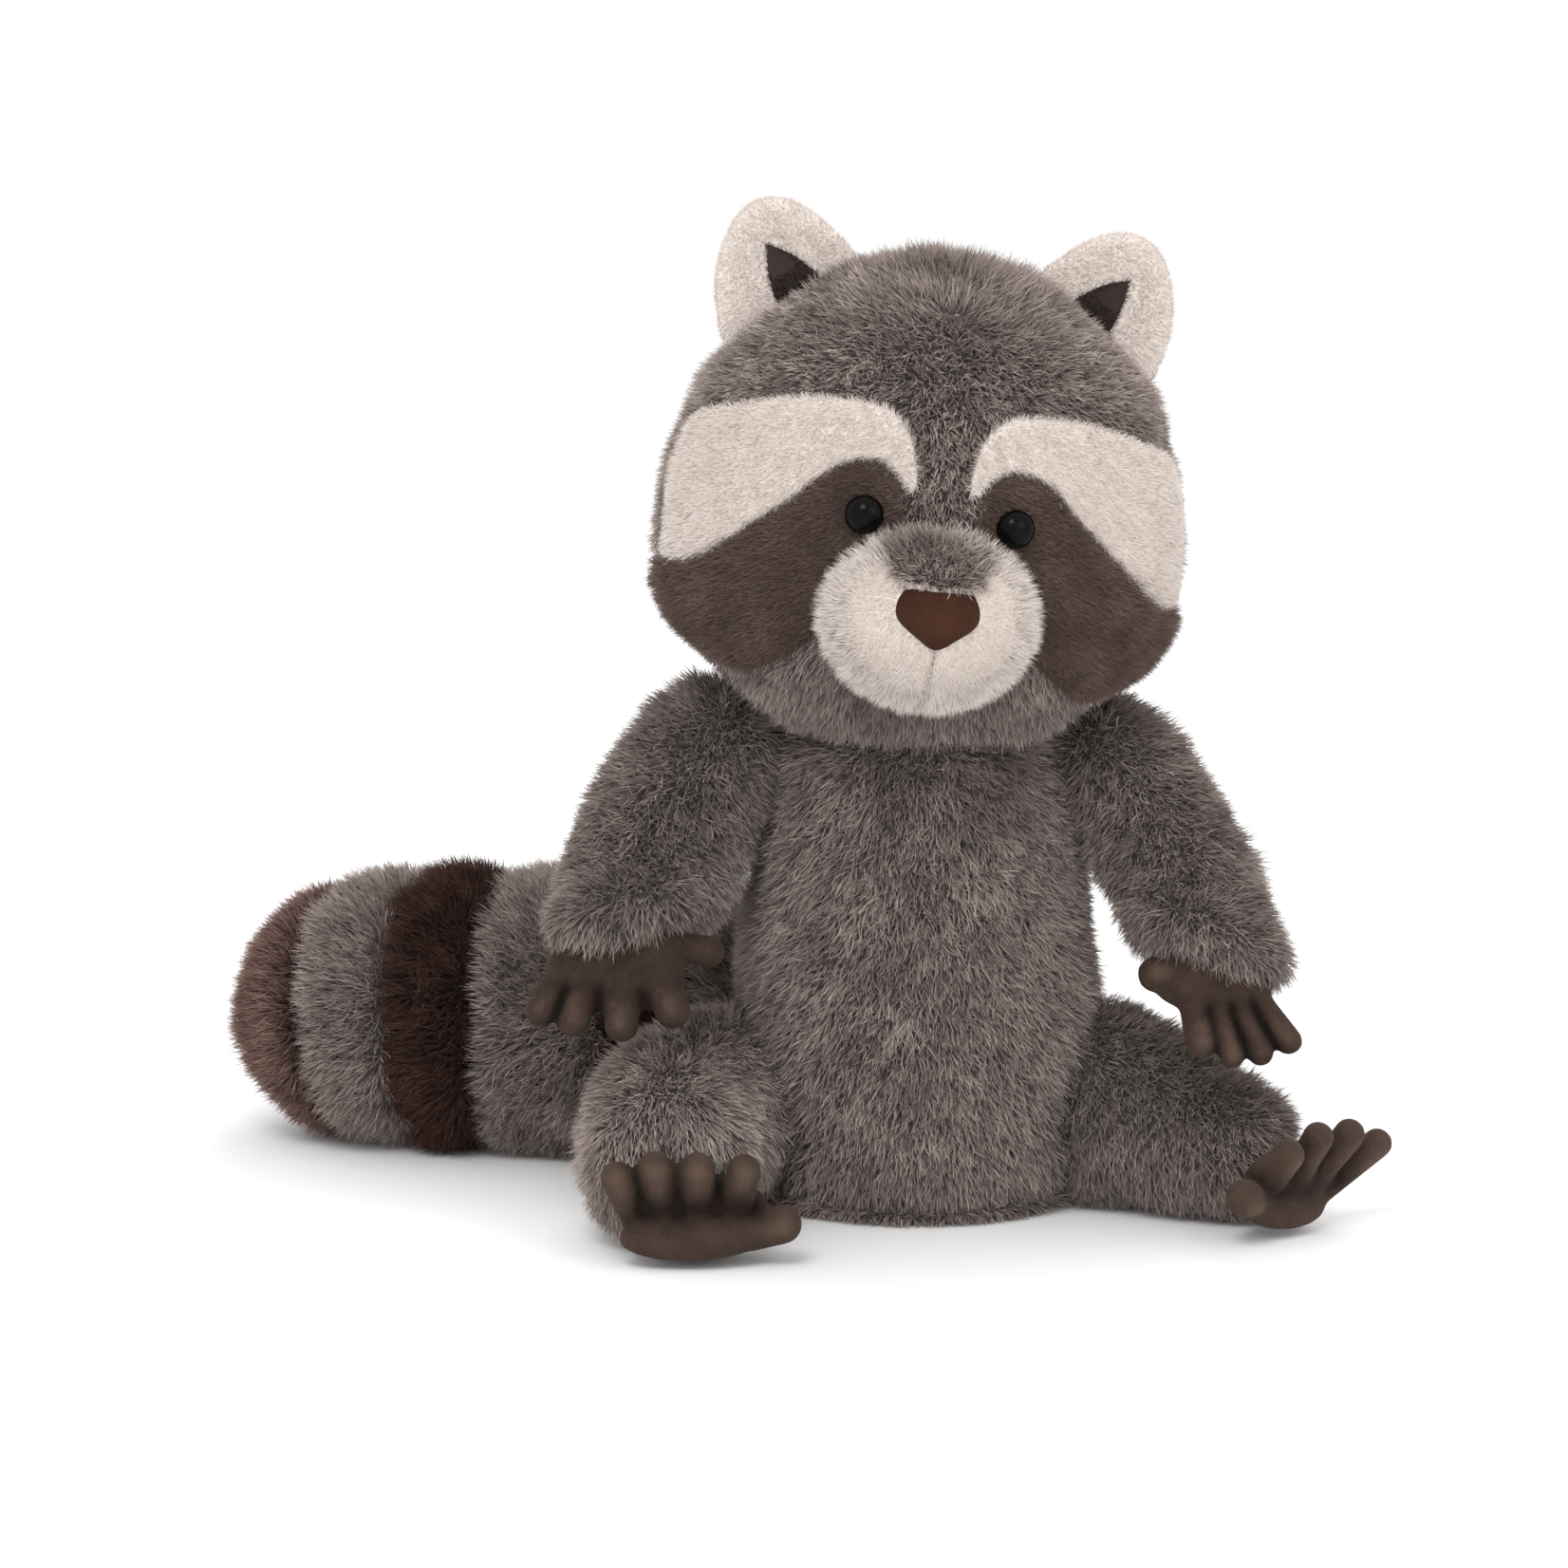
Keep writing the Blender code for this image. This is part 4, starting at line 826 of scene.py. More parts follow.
longPile = {"density": 4.6, "guard": 0.3, "length": 0.0055, "width": 0.00034, "lean": 0.42, "curl": 0.30,
            "tuft": 0.17, "tuftSize": 0.006, "stray": 0.32, "tone": 0.46, "spread": 0.08, "mottle": 0.006,
            "blotch": 0.11, "blotchSize": 0.017}
tailPile = dict(longPile, density=4.2, length=0.0062, width=0.00036, lean=0.34, tone=0.56)
brownTailPile = dict(tailPile, length=0.0072, lean=0.30, tuft=0.36, tuftSize=0.010, tone=0.50)


def tangent(direction):
    # the part of a direction that lies in the skin
    return lambda p, n: unit(direction(p) - n * (direction(p) * n).sum(-1, keepdims=True))


def alongTube(tube, extra=(0, 0, 0)):
    def direction(p):
        k = np.argmin(np.stack([np.linalg.norm(p - q, axis=1) for q in tube["line"][::8]], -1), axis=1) * 8
        return tube["ahead"][k] + np.array(extra)
    return tangent(direction)


def outside(*tests):
    # kept where every test says the root is outside that form
    return lambda p, n: np.all([test(p) > 1 for test in tests], axis=0)


inHead = lambda p: headDepth(p, -0.003)
inTorso = lambda p: torsoDepth(p, -0.003)
inArms = [lambda p, w=w: tubeDepth(armTubes[w], p, -0.003) for w in ("left", "right")]
inLegs = [lambda p, w=w: tubeDepth(legTubes[w], p, -0.003) for w in ("left", "right")]


def pastRoot(p):
    # distance from the tail's root end, along the way it starts
    return ((p - tailTube["line"][0]) * tailTube["ahead"][0]).sum(-1)


def inTail(p):
    # the tail's depth over sqrt(1 - (1 - d/round)^2), as its root end narrows
    past = np.clip(pastRoot(p) / tail["rounds"][0], 0, 1)
    return tubeDepth(tailTube, p, -0.003) / np.sqrt(np.maximum(1 - (1 - past) ** 2, 1e-4))


def close(depth, reach):
    # 1 against another body, 0 from the reach outwards: the share of painted shade that darkens the pile in
    # the crease
    return lambda p: 1 - smoothStep(1.0, reach, depth(p))


def shadeBesideLimbs(p):
    return np.max([close(inArms[0], 1.70)(p), close(inArms[1], 1.70)(p), close(inLegs[0], 1.45)(p),
                   close(inLegs[1], 1.45)(p), close(inHead, 1.10)(p)], axis=0)


downwards = tangent(lambda p: -up + 0 * p)
fur("torso_fur", skins["torso"], dict(longPile, density=4.4, tone=0.58, lean=0.52), finishes["greyFur"],
    "grey_fur", downwards, outside(inHead, *inArms, *inLegs, inTail), 101, beside=shadeBesideLimbs)
fur("base_fur", skins["torso_base_panel"], dict(longPile, density=5, length=0.0046, lean=0.1, tone=0.52),
    finishes["greyFur"], "grey_fur", downwards,
    lambda p, n: (np.abs(n[:, 2]) < 0.8) & outside(*inLegs, inTail)(p, n), 102)
for k, word in enumerate(("left", "right")):
    look = dict(longPile, tone=0.43, lean=0.50, length=0.0060)
    fur(f"arm_{word}_fur", skins["arm_" + word], look, finishes["greyFur"], "grey_fur",
        alongTube(armTubes[word], (0, 0, -0.3)), outside(inHead, inTorso), 111 + k,
        beside=close(inTorso, 1.26))
    look = dict(longPile, tone=0.69, lean=0.85) if word == "right" else dict(longPile, tone=0.38, lean=0.60)
    fur(f"leg_{word}_fur", skins["leg_" + word], look, finishes["greyFur"], "grey_fur",
        alongTube(legTubes[word], (0, 0, -1.3)), outside(inTorso), 121 + k, beside=close(inTorso, 1.22))


def bandEdge(p, n):
    # off the band's hidden end faces and off what the torso and leg cover
    flat = np.abs((n * tailTube["ahead"][np.argmin(np.stack(
        [np.linalg.norm(p - q, axis=1) for q in tailTube["line"][::8]], -1), axis=1) * 8]).sum(-1))
    deep = tubeDepth(tailTube, p, 0.0)
    rootSide = pastRoot(p) < tail["furredEnds"][0]
    tipSide = p[:, 0] < tailTube["line"][-1][0] + tail["furredEnds"][1]
    return (tipSide | rootSide | (flat < 0.75) & (deep > 0.70)) & outside(inTorso, *inLegs)(p, n)


for k, band in enumerate(tail["bands"]):
    brown = "brown" in band
    paint = finishes["tipFur" if k == 0 else "brownFur" if brown else "greyFur"]
    fur(band + "_fur", skins[band], brownTailPile if brown and k else tailPile, paint,
        "tail_brown" if brown else "grey_fur", alongTube(tailTube), bandEdge, 131 + k)
print("body pile done")


# Face

face = {
    # rows of shares of the head's half width and half height, from the nose side outwards, left side
    "browTop": [(.10, .12), (.105, .22), (.15, .355), (.26, .435), (.52, .435), (.79, .355), (.92, .275),
                (.985, .09), (.996, -.12), (.985, -.31)],
    "browLow": [(.10, .12), (.135, .13), (.20, .205), (.27, .228), (.40, .185), (.55, .038), (.70, -.10),
                (.88, -.28), (.985, -.31)],
    "maskTop": [(.14, .03), (.17, .15), (.26, .215), (.40, .17), (.55, .02), (.70, -.12), (.88, -.30),
                (.985, -.355), (.972, -.50)],
    "maskLow": [(.14, .03), (.16, -.08), (.26, -.22), (.34, -.34), (.42, -.50), (.53, -.62), (.68, -.71),
                (.86, -.62), (.972, -.50)],
    "browLevel": -0.0008, "maskLevel": -0.0006, "thickness": 0.0034,
}


def headSurface(x, z):
    # shares to the head's front: y = -d (1 - |x/w|^n)^(1/n), with w and d from the smoothed rows
    rows = smoothRow(head["shape"], 80)
    wide = np.interp(z, rows[:, 0], rows[:, 1]) * head["halfWidth"]
    deep = np.interp(z, rows[:, 0], rows[:, 2]) * head["halfDepth"]
    power = head["roundness"]
    across = np.clip(np.abs(x * head["halfWidth"]) / wide, 0, 0.9995)
    y = -deep * (1 - across**power) ** (1 / power)
    return np.stack([np.sign(x) * across * wide, y, z * head["halfHeight"]], -1)


def headNormal(x, z):
    # the cross product of the surface's steps across and up
    step = 0.02
    across = headSurface(x + step, z) - headSurface(x - step, z)
    rise = headSurface(x, z + step) - headSurface(x, z - step)
    return unit(np.cross(across, rise))


def patchGrid(topRow, lowRow, level, thickness, surface, normal, side=1, count=72, across=22, edge=7.5):
    # between two rows of shares: P = (1-s) top + s low on the host's surface, plus the normal times a
    # section that is rounded at both edges (1 - |2s-1|^edge)^(1/2) and closed by its flat back
    top, low = evenly(smoothRow(topRow, 120), count), evenly(smoothRow(lowRow, 120), count)
    s = (1 - np.cos(np.linspace(0, math.pi, across))) / 2
    shares = top[:, None] * (1 - s)[None, :, None] + low[:, None] * s[None, :, None]
    x, z = side * shares[..., 0], shares[..., 1]
    base, out = surface(x, z), normal(x, z)
    rounding = np.sqrt(np.clip(1 - np.abs(2 * s - 1) ** edge, 0, 1))
    front = base + out * (level - thickness * 0.45 * (1 - rounding))[None, :, None]
    back = base[:, ::-1] + out[:, ::-1] * (level - thickness)
    return np.concatenate([front, back[:, 1:-1]], axis=1)


def onHead(grid):
    return grid @ headTurn.T + headCentre


patches = {}
for side, word in ((1, "left"), (-1, "right")):
    for part, colour in (("brow", "cream"), ("mask", "brown")):
        panel = patchGrid(face[part + "Top"], face[part + "Low"], face[part + "Level"], face["thickness"],
                          headSurface, headNormal, side)
        panel = closedGrid(f"{part}_{word}_panel", onHead(panel), finishes[colour + "Pile"])
        patches[f"{part}_{word}"] = dress(panel, colour + "_pile", f"{part}_patch_{word}")

# Muzzle: two cream halves of one dome, the fur strip on top, and the nose
muzzle = {
    "halfWidth": 0.0226, "halfDepth": 0.0270, "halfHeight": 0.0194, "forward": 0.0435, "below": 0.0213,
    "seamDepth": 0.0007, "seamWidth": 0.0010,
    "bridgeTop": [(-.43, .57), (-.47, .68), (-.50, .78), (-.42, .89), (-.24, .95), (0, .97), (.24, .95),
                  (.42, .89), (.50, .78), (.47, .68), (.43, .57)],
    "bridgeLow": [(-.43, .57), (-.37, .510), (-.24, .475), (0, .465), (.24, .475), (.37, .510), (.43, .57)],
    "nose": [(0, -.235), (-.21, -.10), (-.385, .06), (-.42, .20), (-.385, .34), (-.30, .425), (0, .425),
             (.30, .425), (.385, .34), (.42, .20), (.385, .06), (.21, -.10)],
    "bridgeLevel": 0.0006, "bridgeThickness": 0.003, "noseProud": 0.0021, "noseSunk": 0.0016,
}
muzzleHalf = np.array([muzzle["halfWidth"], muzzle["halfDepth"], muzzle["halfHeight"]])
muzzleCentre = np.array([0, -muzzle["forward"], -muzzle["below"]])


def muzzleSurface(x, z):
    # shares to the front of the ellipsoid: y = -d sqrt(1 - x^2 - z^2)
    depth = np.sqrt(np.clip(1 - x**2 - z**2, 0.0, 1))
    return np.stack([x, -depth, z], -1) * muzzleHalf + muzzleCentre


def muzzleNormal(x, z):
    # the ellipsoid's own: its point over its half sizes once more
    depth = np.sqrt(np.clip(1 - x**2 - z**2, 0.0, 1))
    return unit(np.stack([x, -depth, z], -1) / muzzleHalf)


def muzzleGrid(side):
    # half an ellipsoid about the Y axis, closed by its flat; near the middle it dips by the seam's depth
    away = np.linspace(0, math.pi, 48)[:, None]
    turn = np.linspace(-math.pi / 2, math.pi / 2, 49)[None]
    x, y, z = np.sin(away) * np.cos(turn), -np.cos(away) * np.ones_like(turn), np.sin(away) * np.sin(turn)
    grid = np.stack([x, y, z], -1) * muzzleHalf
    dip = muzzle["seamDepth"] * np.exp(-((grid[..., 0] / muzzle["seamWidth"]) ** 2))
    grid = grid - unit(np.stack([0 * x, y, z], -1)) * dip[..., None]
    grid[..., 0] = np.maximum(grid[..., 0], 0.00012)
    wall = np.linspace(0, 1, 8)[1:-1][None, :, None]
    flat = grid[:, -1:] * (1 - wall) + grid[:, :1] * wall
    whole = np.concatenate([grid, flat], axis=1)
    whole[..., 0] *= side
    return onHead(whole + muzzleCentre)


def noseGrid():
    # outline scaled about its middle; front = muzzle surface + proud (1 - r^5)^(1/2) times the normal
    outline = smoothLoop(muzzle["nose"], 8)
    middle = np.array([0.0, 0.15])
    r = np.sin(np.linspace(0, math.pi / 2, 14))
    rings = [middle + (outline - middle) * k for k in r]
    front = [muzzleSurface(q[:, 0], q[:, 1]) + muzzleNormal(q[:, 0], q[:, 1])
             * (muzzle["noseProud"] * math.sqrt(max(1 - k**5, 0)) - 0.0003) for k, q in zip(r, rings)]
    back = [muzzleSurface(q[:, 0], q[:, 1]) - muzzleNormal(q[:, 0], q[:, 1]) * muzzle["noseSunk"]
            for k, q in zip(r[::-1], rings[::-1])]
    return onHead(np.array(front + back))


for side, word in ((1, "left"), (-1, "right")):
    dome = closedGrid(f"muzzle_{word}_half", muzzleGrid(side), finishes["creamPile"])
    patches["muzzle_" + word] = dress(dome, "cream_pile", f"muzzle_{word}", fill=0.8)
bridge = patchGrid(muzzle["bridgeTop"], muzzle["bridgeLow"], muzzle["bridgeLevel"], muzzle["bridgeThickness"],
                   muzzleSurface, muzzleNormal, count=40, across=16)
bridge = closedGrid("bridge_strip", onHead(bridge), finishes["greySkin"])
patches["bridge"] = dress(bridge, "grey_fur", "muzzle_bridge")
nose = dress(closedGrid("nose_pad", noseGrid(), finishes["nose"]), "nose_suede", "nose", fill=0.5)
nosePaintedShading = nose.data.attributes.new("crease", "FLOAT", "POINT")
# painted highlight in the middle and painted shade at the rim, for the pad's puffed relief: 0.66 - 0.34 r^2,
# r the share of the pad's half size
noseMiddle = np.array([0.0, 0.10 * muzzle["halfHeight"] - muzzle["below"]])
noseHalf = np.array([0.42 * muzzle["halfWidth"], 0.34 * muzzle["halfHeight"]])
noseAway = (headLocal(vertexArray(nose.data))[:, [0, 2]] - noseMiddle) / noseHalf
nosePaintedShading.data.foreach_set("value", np.clip(0.66 - 0.34 * (noseAway**2).sum(1), 0.15, 0.7).astype(np.float32))

# Eyes: domed buttons, a turned profile of radius and height about the surface normal
eye = {"radius": 0.0045, "dome": 0.0039, "place": (0.279, 0.008), "stem": 0.0016, "stemLength": 0.0120}


def glossyBlack():
    made, tree, shader = startMaterial("eye_black", 0.13)
    shader.inputs["Specular IOR Level"].default_value = 0.07
    deep = ramp(tree, noise(tree, 300, 2), [(0.3, (.0022, .002, .002)), (0.7, (.0045, .004, .004))])
    tree.links.new(deep, shader.inputs["Base Color"])
    return made


finishes["eye"] = glossyBlack()


def eyeGrid(side):
    # stem, rim and dome: rings of r (cos a, sin a) at height h along the head's normal
    x, z = np.array([side * eye["place"][0]]), np.array([eye["place"][1]])
    point, normal = headSurface(x, z)[0], headNormal(x, z)[0]
    turn = np.array(Vector(normal).to_track_quat("Z", "Y").to_matrix())
    dome = np.linspace(0, math.pi / 2, 20)
    radius = np.concatenate([[0, eye["stem"], eye["stem"], eye["radius"] * .9, eye["radius"] * .985],
                             eye["radius"] * np.cos(dome)])
    height = np.concatenate([[-eye["stemLength"], -eye["stemLength"], -.0012, -.0011, -.0006],
                             eye["dome"] * np.sin(dome) ** 0.96])
    around = np.arange(48) * 2 * math.pi / 48
    ring = np.stack([radius[:, None] * np.cos(around), radius[:, None] * np.sin(around),
                     np.broadcast_to(height[:, None], (len(height), 48))], -1)
    return onHead(ring @ turn.T + point)


for side, word in ((1, "left"), (-1, "right")):
    dress(closedGrid(f"eye_{word}_button", eyeGrid(side), finishes["eye"]), "eye_black", f"eye_{word}")

# Ears: leaf-shaped pillows cupped forwards, with a dark lining at the inner base
ear = {
    "outline": [(.34, .90), (.48, 1.06), (.61, 1.13), (.73, 1.125), (.815, 1.04), (.86, .89), (.86, .72),
                (.78, .50), (.60, .52), (.42, .70)],
    "half": 0.0046, "back": 0.003, "cup": 0.0040, "liningLevel": 0.0005, "liningThickness": 0.0022,
    "liningTop": [(.47, .84), (.53, .89), (.60, .93), (.69, .955)],
    "liningLow": [(.47, .84), (.53, .76), (.60, .70), (.645, .75), (.68, .86), (.69, .955)],
}
earLoop = smoothLoop(ear["outline"], 8)
earMiddle = np.array(ear["outline"]).mean(0)


def earFront(x, z):
    # front face: y = back - half sqrt(1 - c^2) + cup (1 - c^1.4), where c = r^(1/0.7)
    # and r is the share of the way to the rim
    to = np.stack([np.abs(x), z], -1) - earMiddle
    rim = earLoop - earMiddle
    angle = np.arctan2(rim[:, 1], rim[:, 0])
    order = np.argsort(angle)
    reach = np.interp(np.arctan2(to[..., 1], to[..., 0]), angle[order], np.linalg.norm(rim, axis=1)[order],
                      period=2 * math.pi)
    c = np.clip(np.linalg.norm(to, axis=-1) / reach, 0, 1) ** (1 / 0.7)
    y = ear["back"] - ear["half"] * np.sqrt(1 - c**2) + ear["cup"] * (1 - c**1.4)
    return np.stack([x * head["halfWidth"], y, z * head["halfHeight"]], -1)


def earNormal(x, z):
    # straight forwards all over
    return np.broadcast_to(np.array([0.0, -1.0, 0.0]), x.shape + (3,))


def earGrid(side):
    # the outline times c^0.7, at y = back + half sin t + cup (1 - c^1.4), with c = cos t
    angle = np.linspace(-math.pi / 2, math.pi / 2, 30)
    c = np.cos(angle)[:, None]
    spread = earMiddle + (earLoop - earMiddle)[None] * (c**0.7)[..., None]
    y = ear["back"] + ear["half"] * np.sin(angle)[:, None] + ear["cup"] * (1 - c**1.4)
    y = np.broadcast_to(y, spread.shape[:2])
    x, z = side * spread[..., 0] * head["halfWidth"], spread[..., 1] * head["halfHeight"]
    return onHead(np.stack([x, y, z], -1))


for side, word in ((1, "left"), (-1, "right")):
    leaf = closedGrid(f"ear_{word}_leaf", earGrid(side), finishes["creamPile"])
    patches["ear_" + word] = dress(leaf, "cream_pile", f"ear_{word}", fill=0.3)
    lining = patchGrid(ear["liningTop"], ear["liningLow"], ear["liningLevel"], ear["liningThickness"],
                       earFront, earNormal, side, count=30, across=14)
    lining = closedGrid(f"ear_{word}_lining", onHead(lining), finishes["darkPile"])
    patches["lining_" + word] = dress(lining, "dark_lining", f"ear_lining_{word}")
print("face panels done")

# Head pile: off the panels, and cut shorter beside them
panelsFrom = 0.006  # bare this far in front of the head's middle, and shortened as far behind it
panels = {key: np.vstack([evenly(smoothRow(face[a], 120), 60), evenly(smoothRow(face[b], 120), 60)[::-1]])
          for key, a, b in (("brow", "browTop", "browLow"), ("mask", "maskTop", "maskLow"))}


def headShares(p):
    q = headLocal(p)
    return q, q[:, 0] / head["halfWidth"], q[:, 2] / head["halfHeight"]


def bareFace(p, n):
    # off the panels, the muzzle and the ears' feet, and off what touches the head
    q, x, z = headShares(p)
    front = q[:, 1] < -panelsFrom
    covered = np.zeros(len(p), bool)
    for outline in panels.values():
        covered |= inPolygon(np.abs(x) * 1.02, z * 1.02, outline)
    m = (q - muzzleCentre) / (muzzleHalf * 0.97)
    covered |= (m**2).sum(1) < 1
    inEar = (np.abs(q[:, 1] - ear["back"]) < 0.0035) & inPolygon(np.abs(x), z, earLoop)
    return ~(front & covered) & ~inEar & outside(inTorso, *inArms)(p, n)


def besidePanels(p):
    # a share of the full length: short beside the panels, longer on the crown
    q, x, z = headShares(p)
    scale = np.array([head["halfWidth"], head["halfHeight"]])
    near = np.min([fromOutline(np.abs(x) * scale[0], z * scale[1], outline * scale)
                   for outline in panels.values()], axis=0)
    byPanel = np.where(q[:, 1] < panelsFrom, 0.66 + 0.34 * smoothStep(0.0, 0.005, near), 1.0)
    # and shorter in front of the ears, so their linings show
    earWay = np.hypot(np.abs(x) - 0.62, z - 0.76)
    onTop = 1 + 0.18 * smoothStep(0.80, 0.97, z)
    return onTop * byPanel * (1 - 0.30 * smoothStep(0.30, 0.16, earWay) * (q[:, 1] < panelsFrom))


def headComb(p, n):
    # down at the sides and under, outwards on top, and parted from the middle of the brow
    q = headLocal(p)
    way = np.stack([0.25 * np.sign(q[:, 0]) * smoothStep(0, .02, np.abs(q[:, 0])), -0.1 + 0 * q[:, 0],
                    -1.0 + 1.2 * smoothStep(0.02, 0.05, q[:, 2])], -1)
    way = way @ headTurn.T
    return unit(way - n * (way * n).sum(-1, keepdims=True))


def underChin(p):
    # the pile under the head lies in shade
    return 0.55 * smoothStep(-0.028, -0.046, headLocal(p)[:, 2])


fur("head_fur", skins["head"], dict(longPile, density=4.4, lean=0.42, tone=0.65), finishes["greyFur"],
    "grey_fur", headComb, bareFace, 151, besidePanels, underChin)
fur("bridge_fur", patches["bridge"], dict(longPile, density=7, length=0.0042, lean=0.3, tone=0.82),
    finishes["greyFur"], "grey_fur", headComb, lambda p, n: headLocal(n + headCentre)[:, 1] < 0.2, 152)


def outwardComb(p, n):
    # away from the nose along the cheek
    q = headLocal(p)
    way = np.stack([np.sign(q[:, 0]), 0.3 + 0 * q[:, 0], -0.35 + 0 * q[:, 0]], -1) @ headTurn.T
    return unit(way - n * (way * n).sum(-1, keepdims=True))


def shortPile(name, host, look, material, slot, keep, comb, seed):
    # velour of single tapering strands: direction = normal + lean * comb, and a share of
    # tuft * ripple + stray * noise that grows with the length
    roots, normals, rng = standing(host, look["density"] * 1e6, seed)
    kept = keep(roots, normals)
    roots, normals = roots[kept], normals[kept]
    count = len(roots)
    flow = comb(roots, normals)
    wave = np.stack([ripple(roots, 0.005, seed + 11 + k) for k in range(3)], -1)
    tall = look["length"](roots)
    wild = (tall / tall.max())[:, None]  # the longest pile is the wildest
    noisy = look["tuft"] * wave + look["stray"] * rng.normal(size=(count, 3))
    way = unit(normals + look["lean"] * flow + wild * noisy)
    tall = tall * rng.uniform(0.75, 1.12, count)
    half = unit(np.cross(way, rng.normal(size=(count, 3)))) * look["width"] / 2
    root = roots - normals * 0.0002
    tone = 0.5 + 0.10 * ripple(roots, 0.012, seed + 3) + 0.12 * rng.normal(size=count)
    strands = ([root, root + way * tall[:, None]], [half, None], np.clip(tone, 0, 1), (0.01, 0.99))
    return dress(strandMesh(name, [strands], material), slot)


def facingOut(p, n):
    # the front of a panel, as seen from the head's middle
    q, m = headLocal(p), n @ headTurn
    return (unit(q) * m).sum(-1) > 0.02


def muzzleOut(p, n):
    # off the nose, the bridge, the flats between the halves, and what lies in the head
    q = headLocal(p)
    x, z = q[:, 0] / muzzle["halfWidth"], (q[:, 2] + muzzle["below"]) / muzzle["halfHeight"]
    inNose = inPolygon(x, z, smoothLoop(muzzle["nose"], 8)) & (q[:, 1] < muzzleCentre[1])
    strip = np.vstack([smoothRow(muzzle["bridgeTop"], 40), smoothRow(muzzle["bridgeLow"], 40)[::-1]])
    flat = (np.abs(n @ headTurn[:, 0]) > 0.9) & (np.abs(q[:, 0]) < 0.0006)
    return ~inNose & ~inPolygon(x, z, strip) & ~flat & (headDepth(p, -0.001) > 1)


def muzzleLength(p):
    # short in front, longer towards the dome's rim
    q = headLocal(p)
    away = np.linalg.norm((q - muzzleCentre)[:, [0, 2]] / muzzleHalf[[0, 2]], axis=1)
    return 0.0014 + 0.0034 * smoothStep(0.74, 1.0, away)


def offLining(p, n):
    # an ear's pile leaves its lining free and ends at the head
    q = headLocal(p)
    lining = np.vstack([smoothRow(ear["liningTop"], 40), smoothRow(ear["liningLow"], 40)[::-1]])
    onLining = inPolygon(np.abs(q[:, 0]) / head["halfWidth"], q[:, 2] / head["halfHeight"], lining)
    return (headDepth(p, -0.001) > 1) & ~(onLining & ((n @ headTurn)[:, 1] < 0.2))


def patchLength(front, side):
    # the length in front, growing to the side's towards the head's sides
    def length(p):
        across = np.abs(headLocal(p)[:, 0]) / head["halfWidth"]
        return front + (side - front) * smoothStep(0.62, 1.0, across)
    return length


def muzzleComb(p, n):
    q = headLocal(p) - muzzleCentre
    way = np.stack([q[:, 0], 0 * q[:, 0], q[:, 2]], -1) @ headTurn.T
    return unit(way - n * (way * n).sum(-1, keepdims=True))


velour = {"width": 0.00028, "lean": 0.8, "stray": 0.22, "tuft": 0.25}
velours = {
    "brow": dict(velour, density=7.0, length=patchLength(0.0020, 0.0023), lean=0.7, stray=0.30),
    "mask": dict(velour, density=7.5, length=patchLength(0.0026, 0.0048), width=0.00030, stray=0.34),
    "muzzle": dict(velour, density=8.0, length=muzzleLength, width=0.00030, lean=0.45, stray=0.26, tuft=0.45),
    "ear": dict(velour, density=6.0, length=patchLength(0.0016, 0.0016), stray=0.16),
    "lining": dict(velour, density=7.0, length=patchLength(0.0014, 0.0014), width=0.00030, stray=0.20),
}
velourRuns = (
    ("brow", "creamStrands", "cream_pile", facingOut, outwardComb, 161),
    ("mask", "brownStrands", "brown_pile", facingOut, outwardComb, 165),
    ("muzzle", "creamStrands", "cream_pile", muzzleOut, muzzleComb, 169),
    ("ear", "creamStrands", "cream_pile", offLining, headComb, 173),
    ("lining", "darkStrands", "dark_lining", facingOut, headComb, 177),
)
for side, word in ((1, "left"), (-1, "right")):
    for part, paint, slot, keep, comb, seed in velourRuns:
        shortPile(f"{part}_{word}_pile", patches[f"{part}_{word}"], velours[part], finishes[paint], slot,
                  keep, comb, seed + side)
print("face pile done")


# Hands and feet
for name in ("hand_right", "hand_left", "foot_right", "foot_left"):
    mitt(name)
print("mitts done")


# What lies inside and stays as the solids have it: the pouch and the eyes' washers

def clothMaterial(name, dark, light, scale):
    # a plain weave: two crossed rows of waves for the threads
    made, tree, shader = startMaterial(name, 0.9, 0.1)
    where = tree.nodes.new("ShaderNodeTexCoord")
    threads = []
    for direction in ("X", "Y"):
        wave = tree.nodes.new("ShaderNodeTexWave")
        wave.bands_direction = direction
        wave.inputs["Scale"].default_value = scale
        wave.inputs["Distortion"].default_value = 0.6
        tree.links.new(where.outputs["Object"], wave.inputs["Vector"])
        threads.append(wave.outputs[0])
    woven = blended(tree, threads[0], threads[1], 0.5)
    tree.links.new(ramp(tree, woven, [(0.2, dark), (0.8, light)]), shader.inputs["Base Color"])
    bumpy(tree, shader, woven, 0.5, 0.0003)
    return made


def washerMaterial():
    # moulded white plastic with a faint grain
    made, tree, shader = startMaterial("washer_plastic", 0.45)
    tree.links.new(ramp(tree, noise(tree, 400, 2), [(0.3, (.66, .66, .64)), (0.7, (.74, .74, .72))]),
                   shader.inputs["Base Color"])
    bumpy(tree, shader, noise(tree, 900, 2), 0.2, 0.0001)
    return made


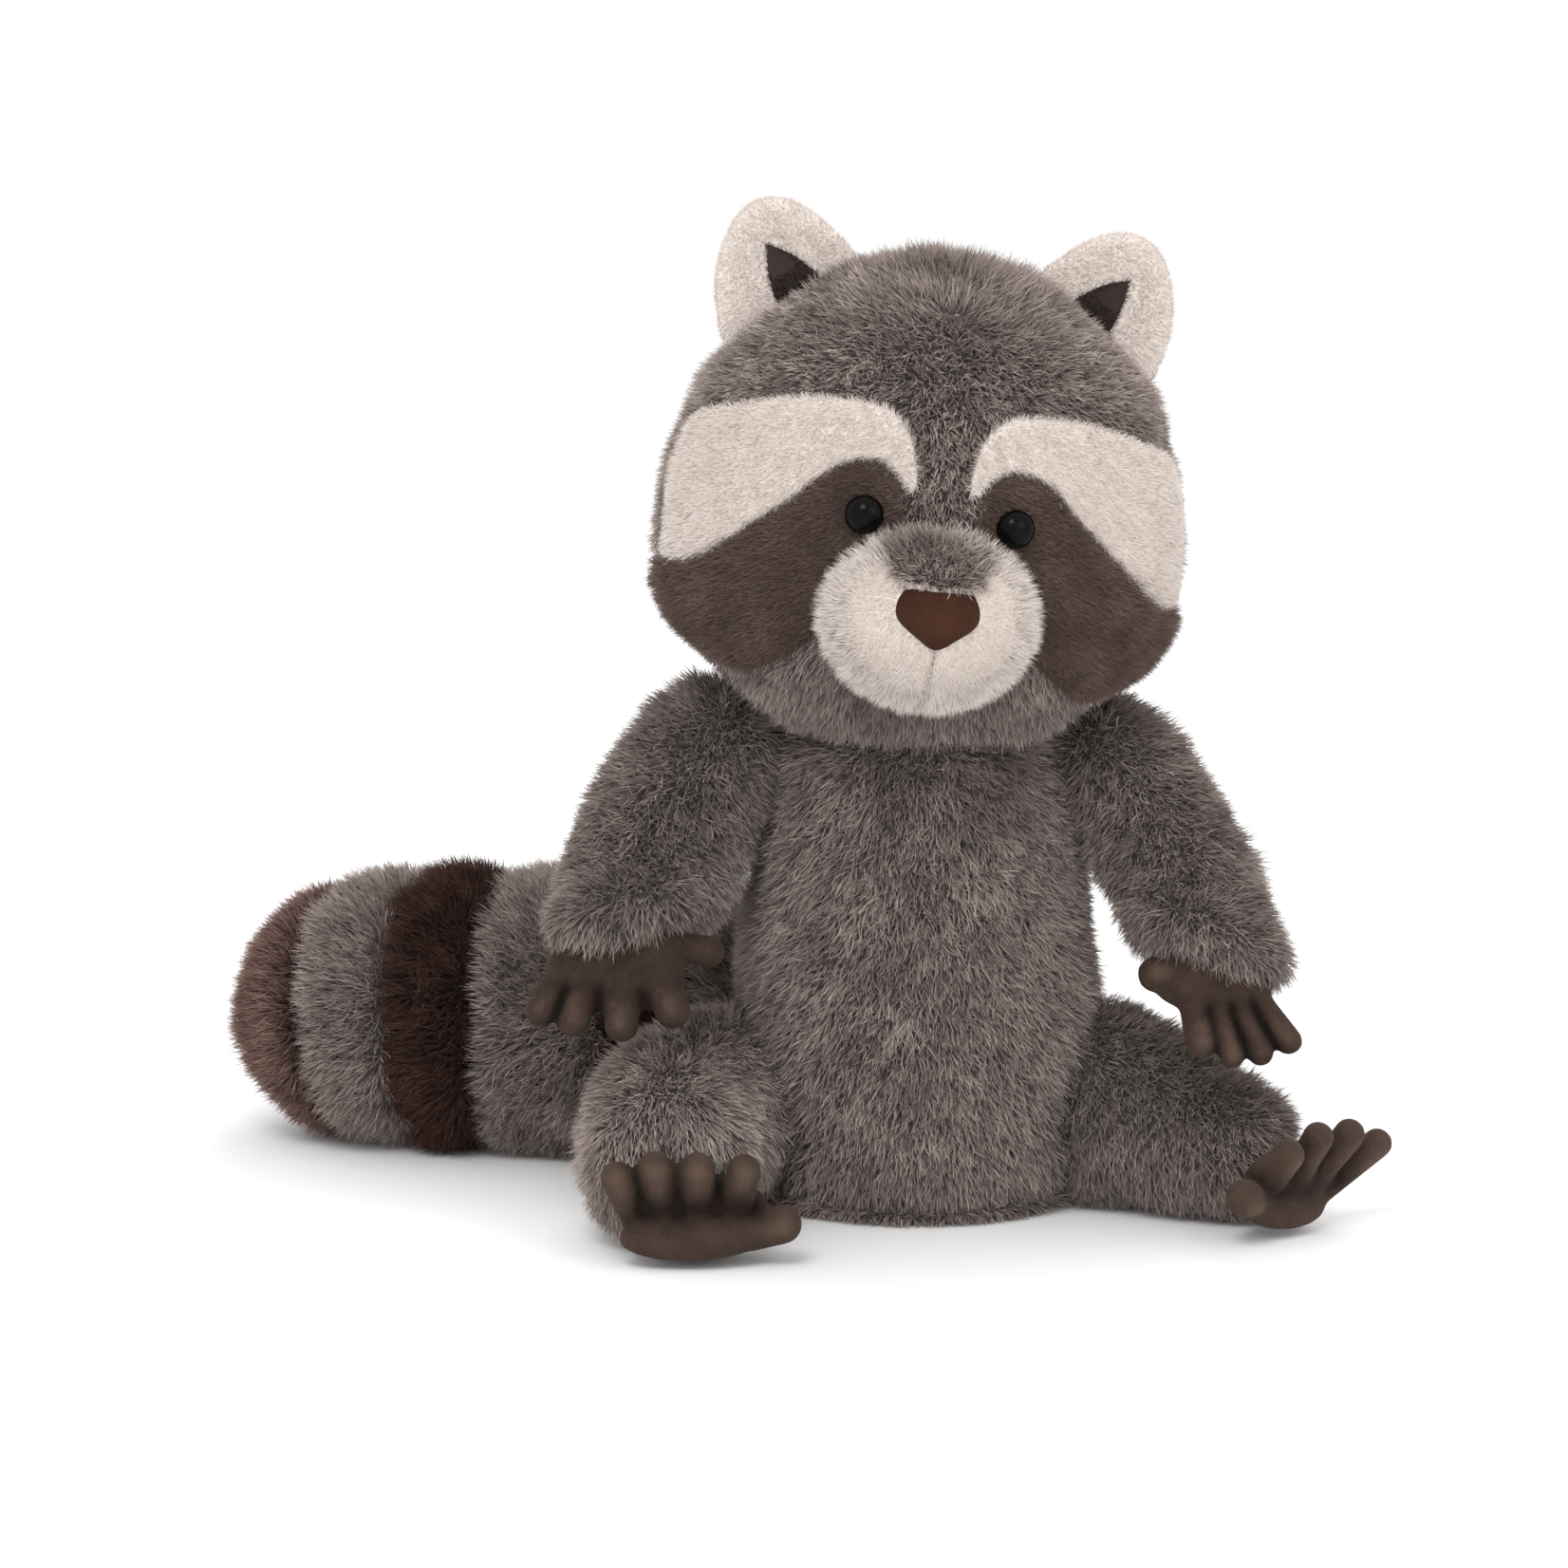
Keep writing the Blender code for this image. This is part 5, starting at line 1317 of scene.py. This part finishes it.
carried = {
    "bean_pouch": clothMaterial("pouch_cotton", (.42, .40, .37), (.55, .53, .49), 700),
    "eye_washer_left": washerMaterial(),
}
carried["eye_washer_right"] = carried["eye_washer_left"]
for node, material in carried.items():
    for place in nodes[node].material_slots:
        place.material = material

# Floor, lights and surroundings
studio = {"floor": 8.0, "floorTone": 0.87, "sky": 1.17, "key": 11.0, "fill": 4.0, "rim": 4.0}


def floorMaterial():
    made, tree, shader = startMaterial("studio_floor", 0.85)
    tone = studio["floorTone"]
    pale = ramp(tree, noise(tree, 2.0, 2), [(0.3, (tone,) * 3), (0.7, (tone * 1.01,) * 3)])
    tree.links.new(pale, shader.inputs["Base Color"])
    return made


reach = studio["floor"]
floorMesh = bpy.data.meshes.new("floor")
floorCorners = [(-reach, -reach, 0), (reach, -reach, 0), (reach, reach, 0), (-reach, reach, 0)]
floorMesh.from_pydata(floorCorners, [], [(0, 1, 2, 3)])
floorMesh.materials.append(floorMaterial())
floor = bpy.data.objects.new("floor", floorMesh)
scene.collection.objects.link(floor)


def softLight(name, place, size, power, aim=(0, 0, 0.1)):
    light = bpy.data.lights.new(name, "AREA")
    light.shape, light.size, light.energy = "DISK", size, power
    made = bpy.data.objects.new(name, light)
    made.location = place
    made.rotation_euler = (Vector(aim) - Vector(place)).to_track_quat("-Z", "Y").to_euler()
    scene.collection.objects.link(made)


softLight("key", (-0.35, -1.15, 1.35), 0.7, studio["key"])
softLight("fill", (1.0, -1.1, 0.8), 1.0, studio["fill"])
softLight("rim", (0.3, 1.2, 1.3), 1.0, studio["rim"])
world = scene.world or bpy.data.worlds.new("studio")
scene.world = world
world.use_nodes = True
sky = world.node_tree.nodes["Background"]
sky.inputs[0].default_value = (1.0, 1.0, 1.0, 1)
sky.inputs[1].default_value = studio["sky"]
scene.view_settings.view_transform = "Standard"

triangles = {piece.name: len(piece.data.loops) - 2 * len(piece.data.polygons)
             for piece in scene.objects if piece.type == "MESH"}
print("most triangles:", sorted(((count, name) for name, count in triangles.items()), reverse=True)[:8])
print("triangles in all:", sum(triangles.values()))
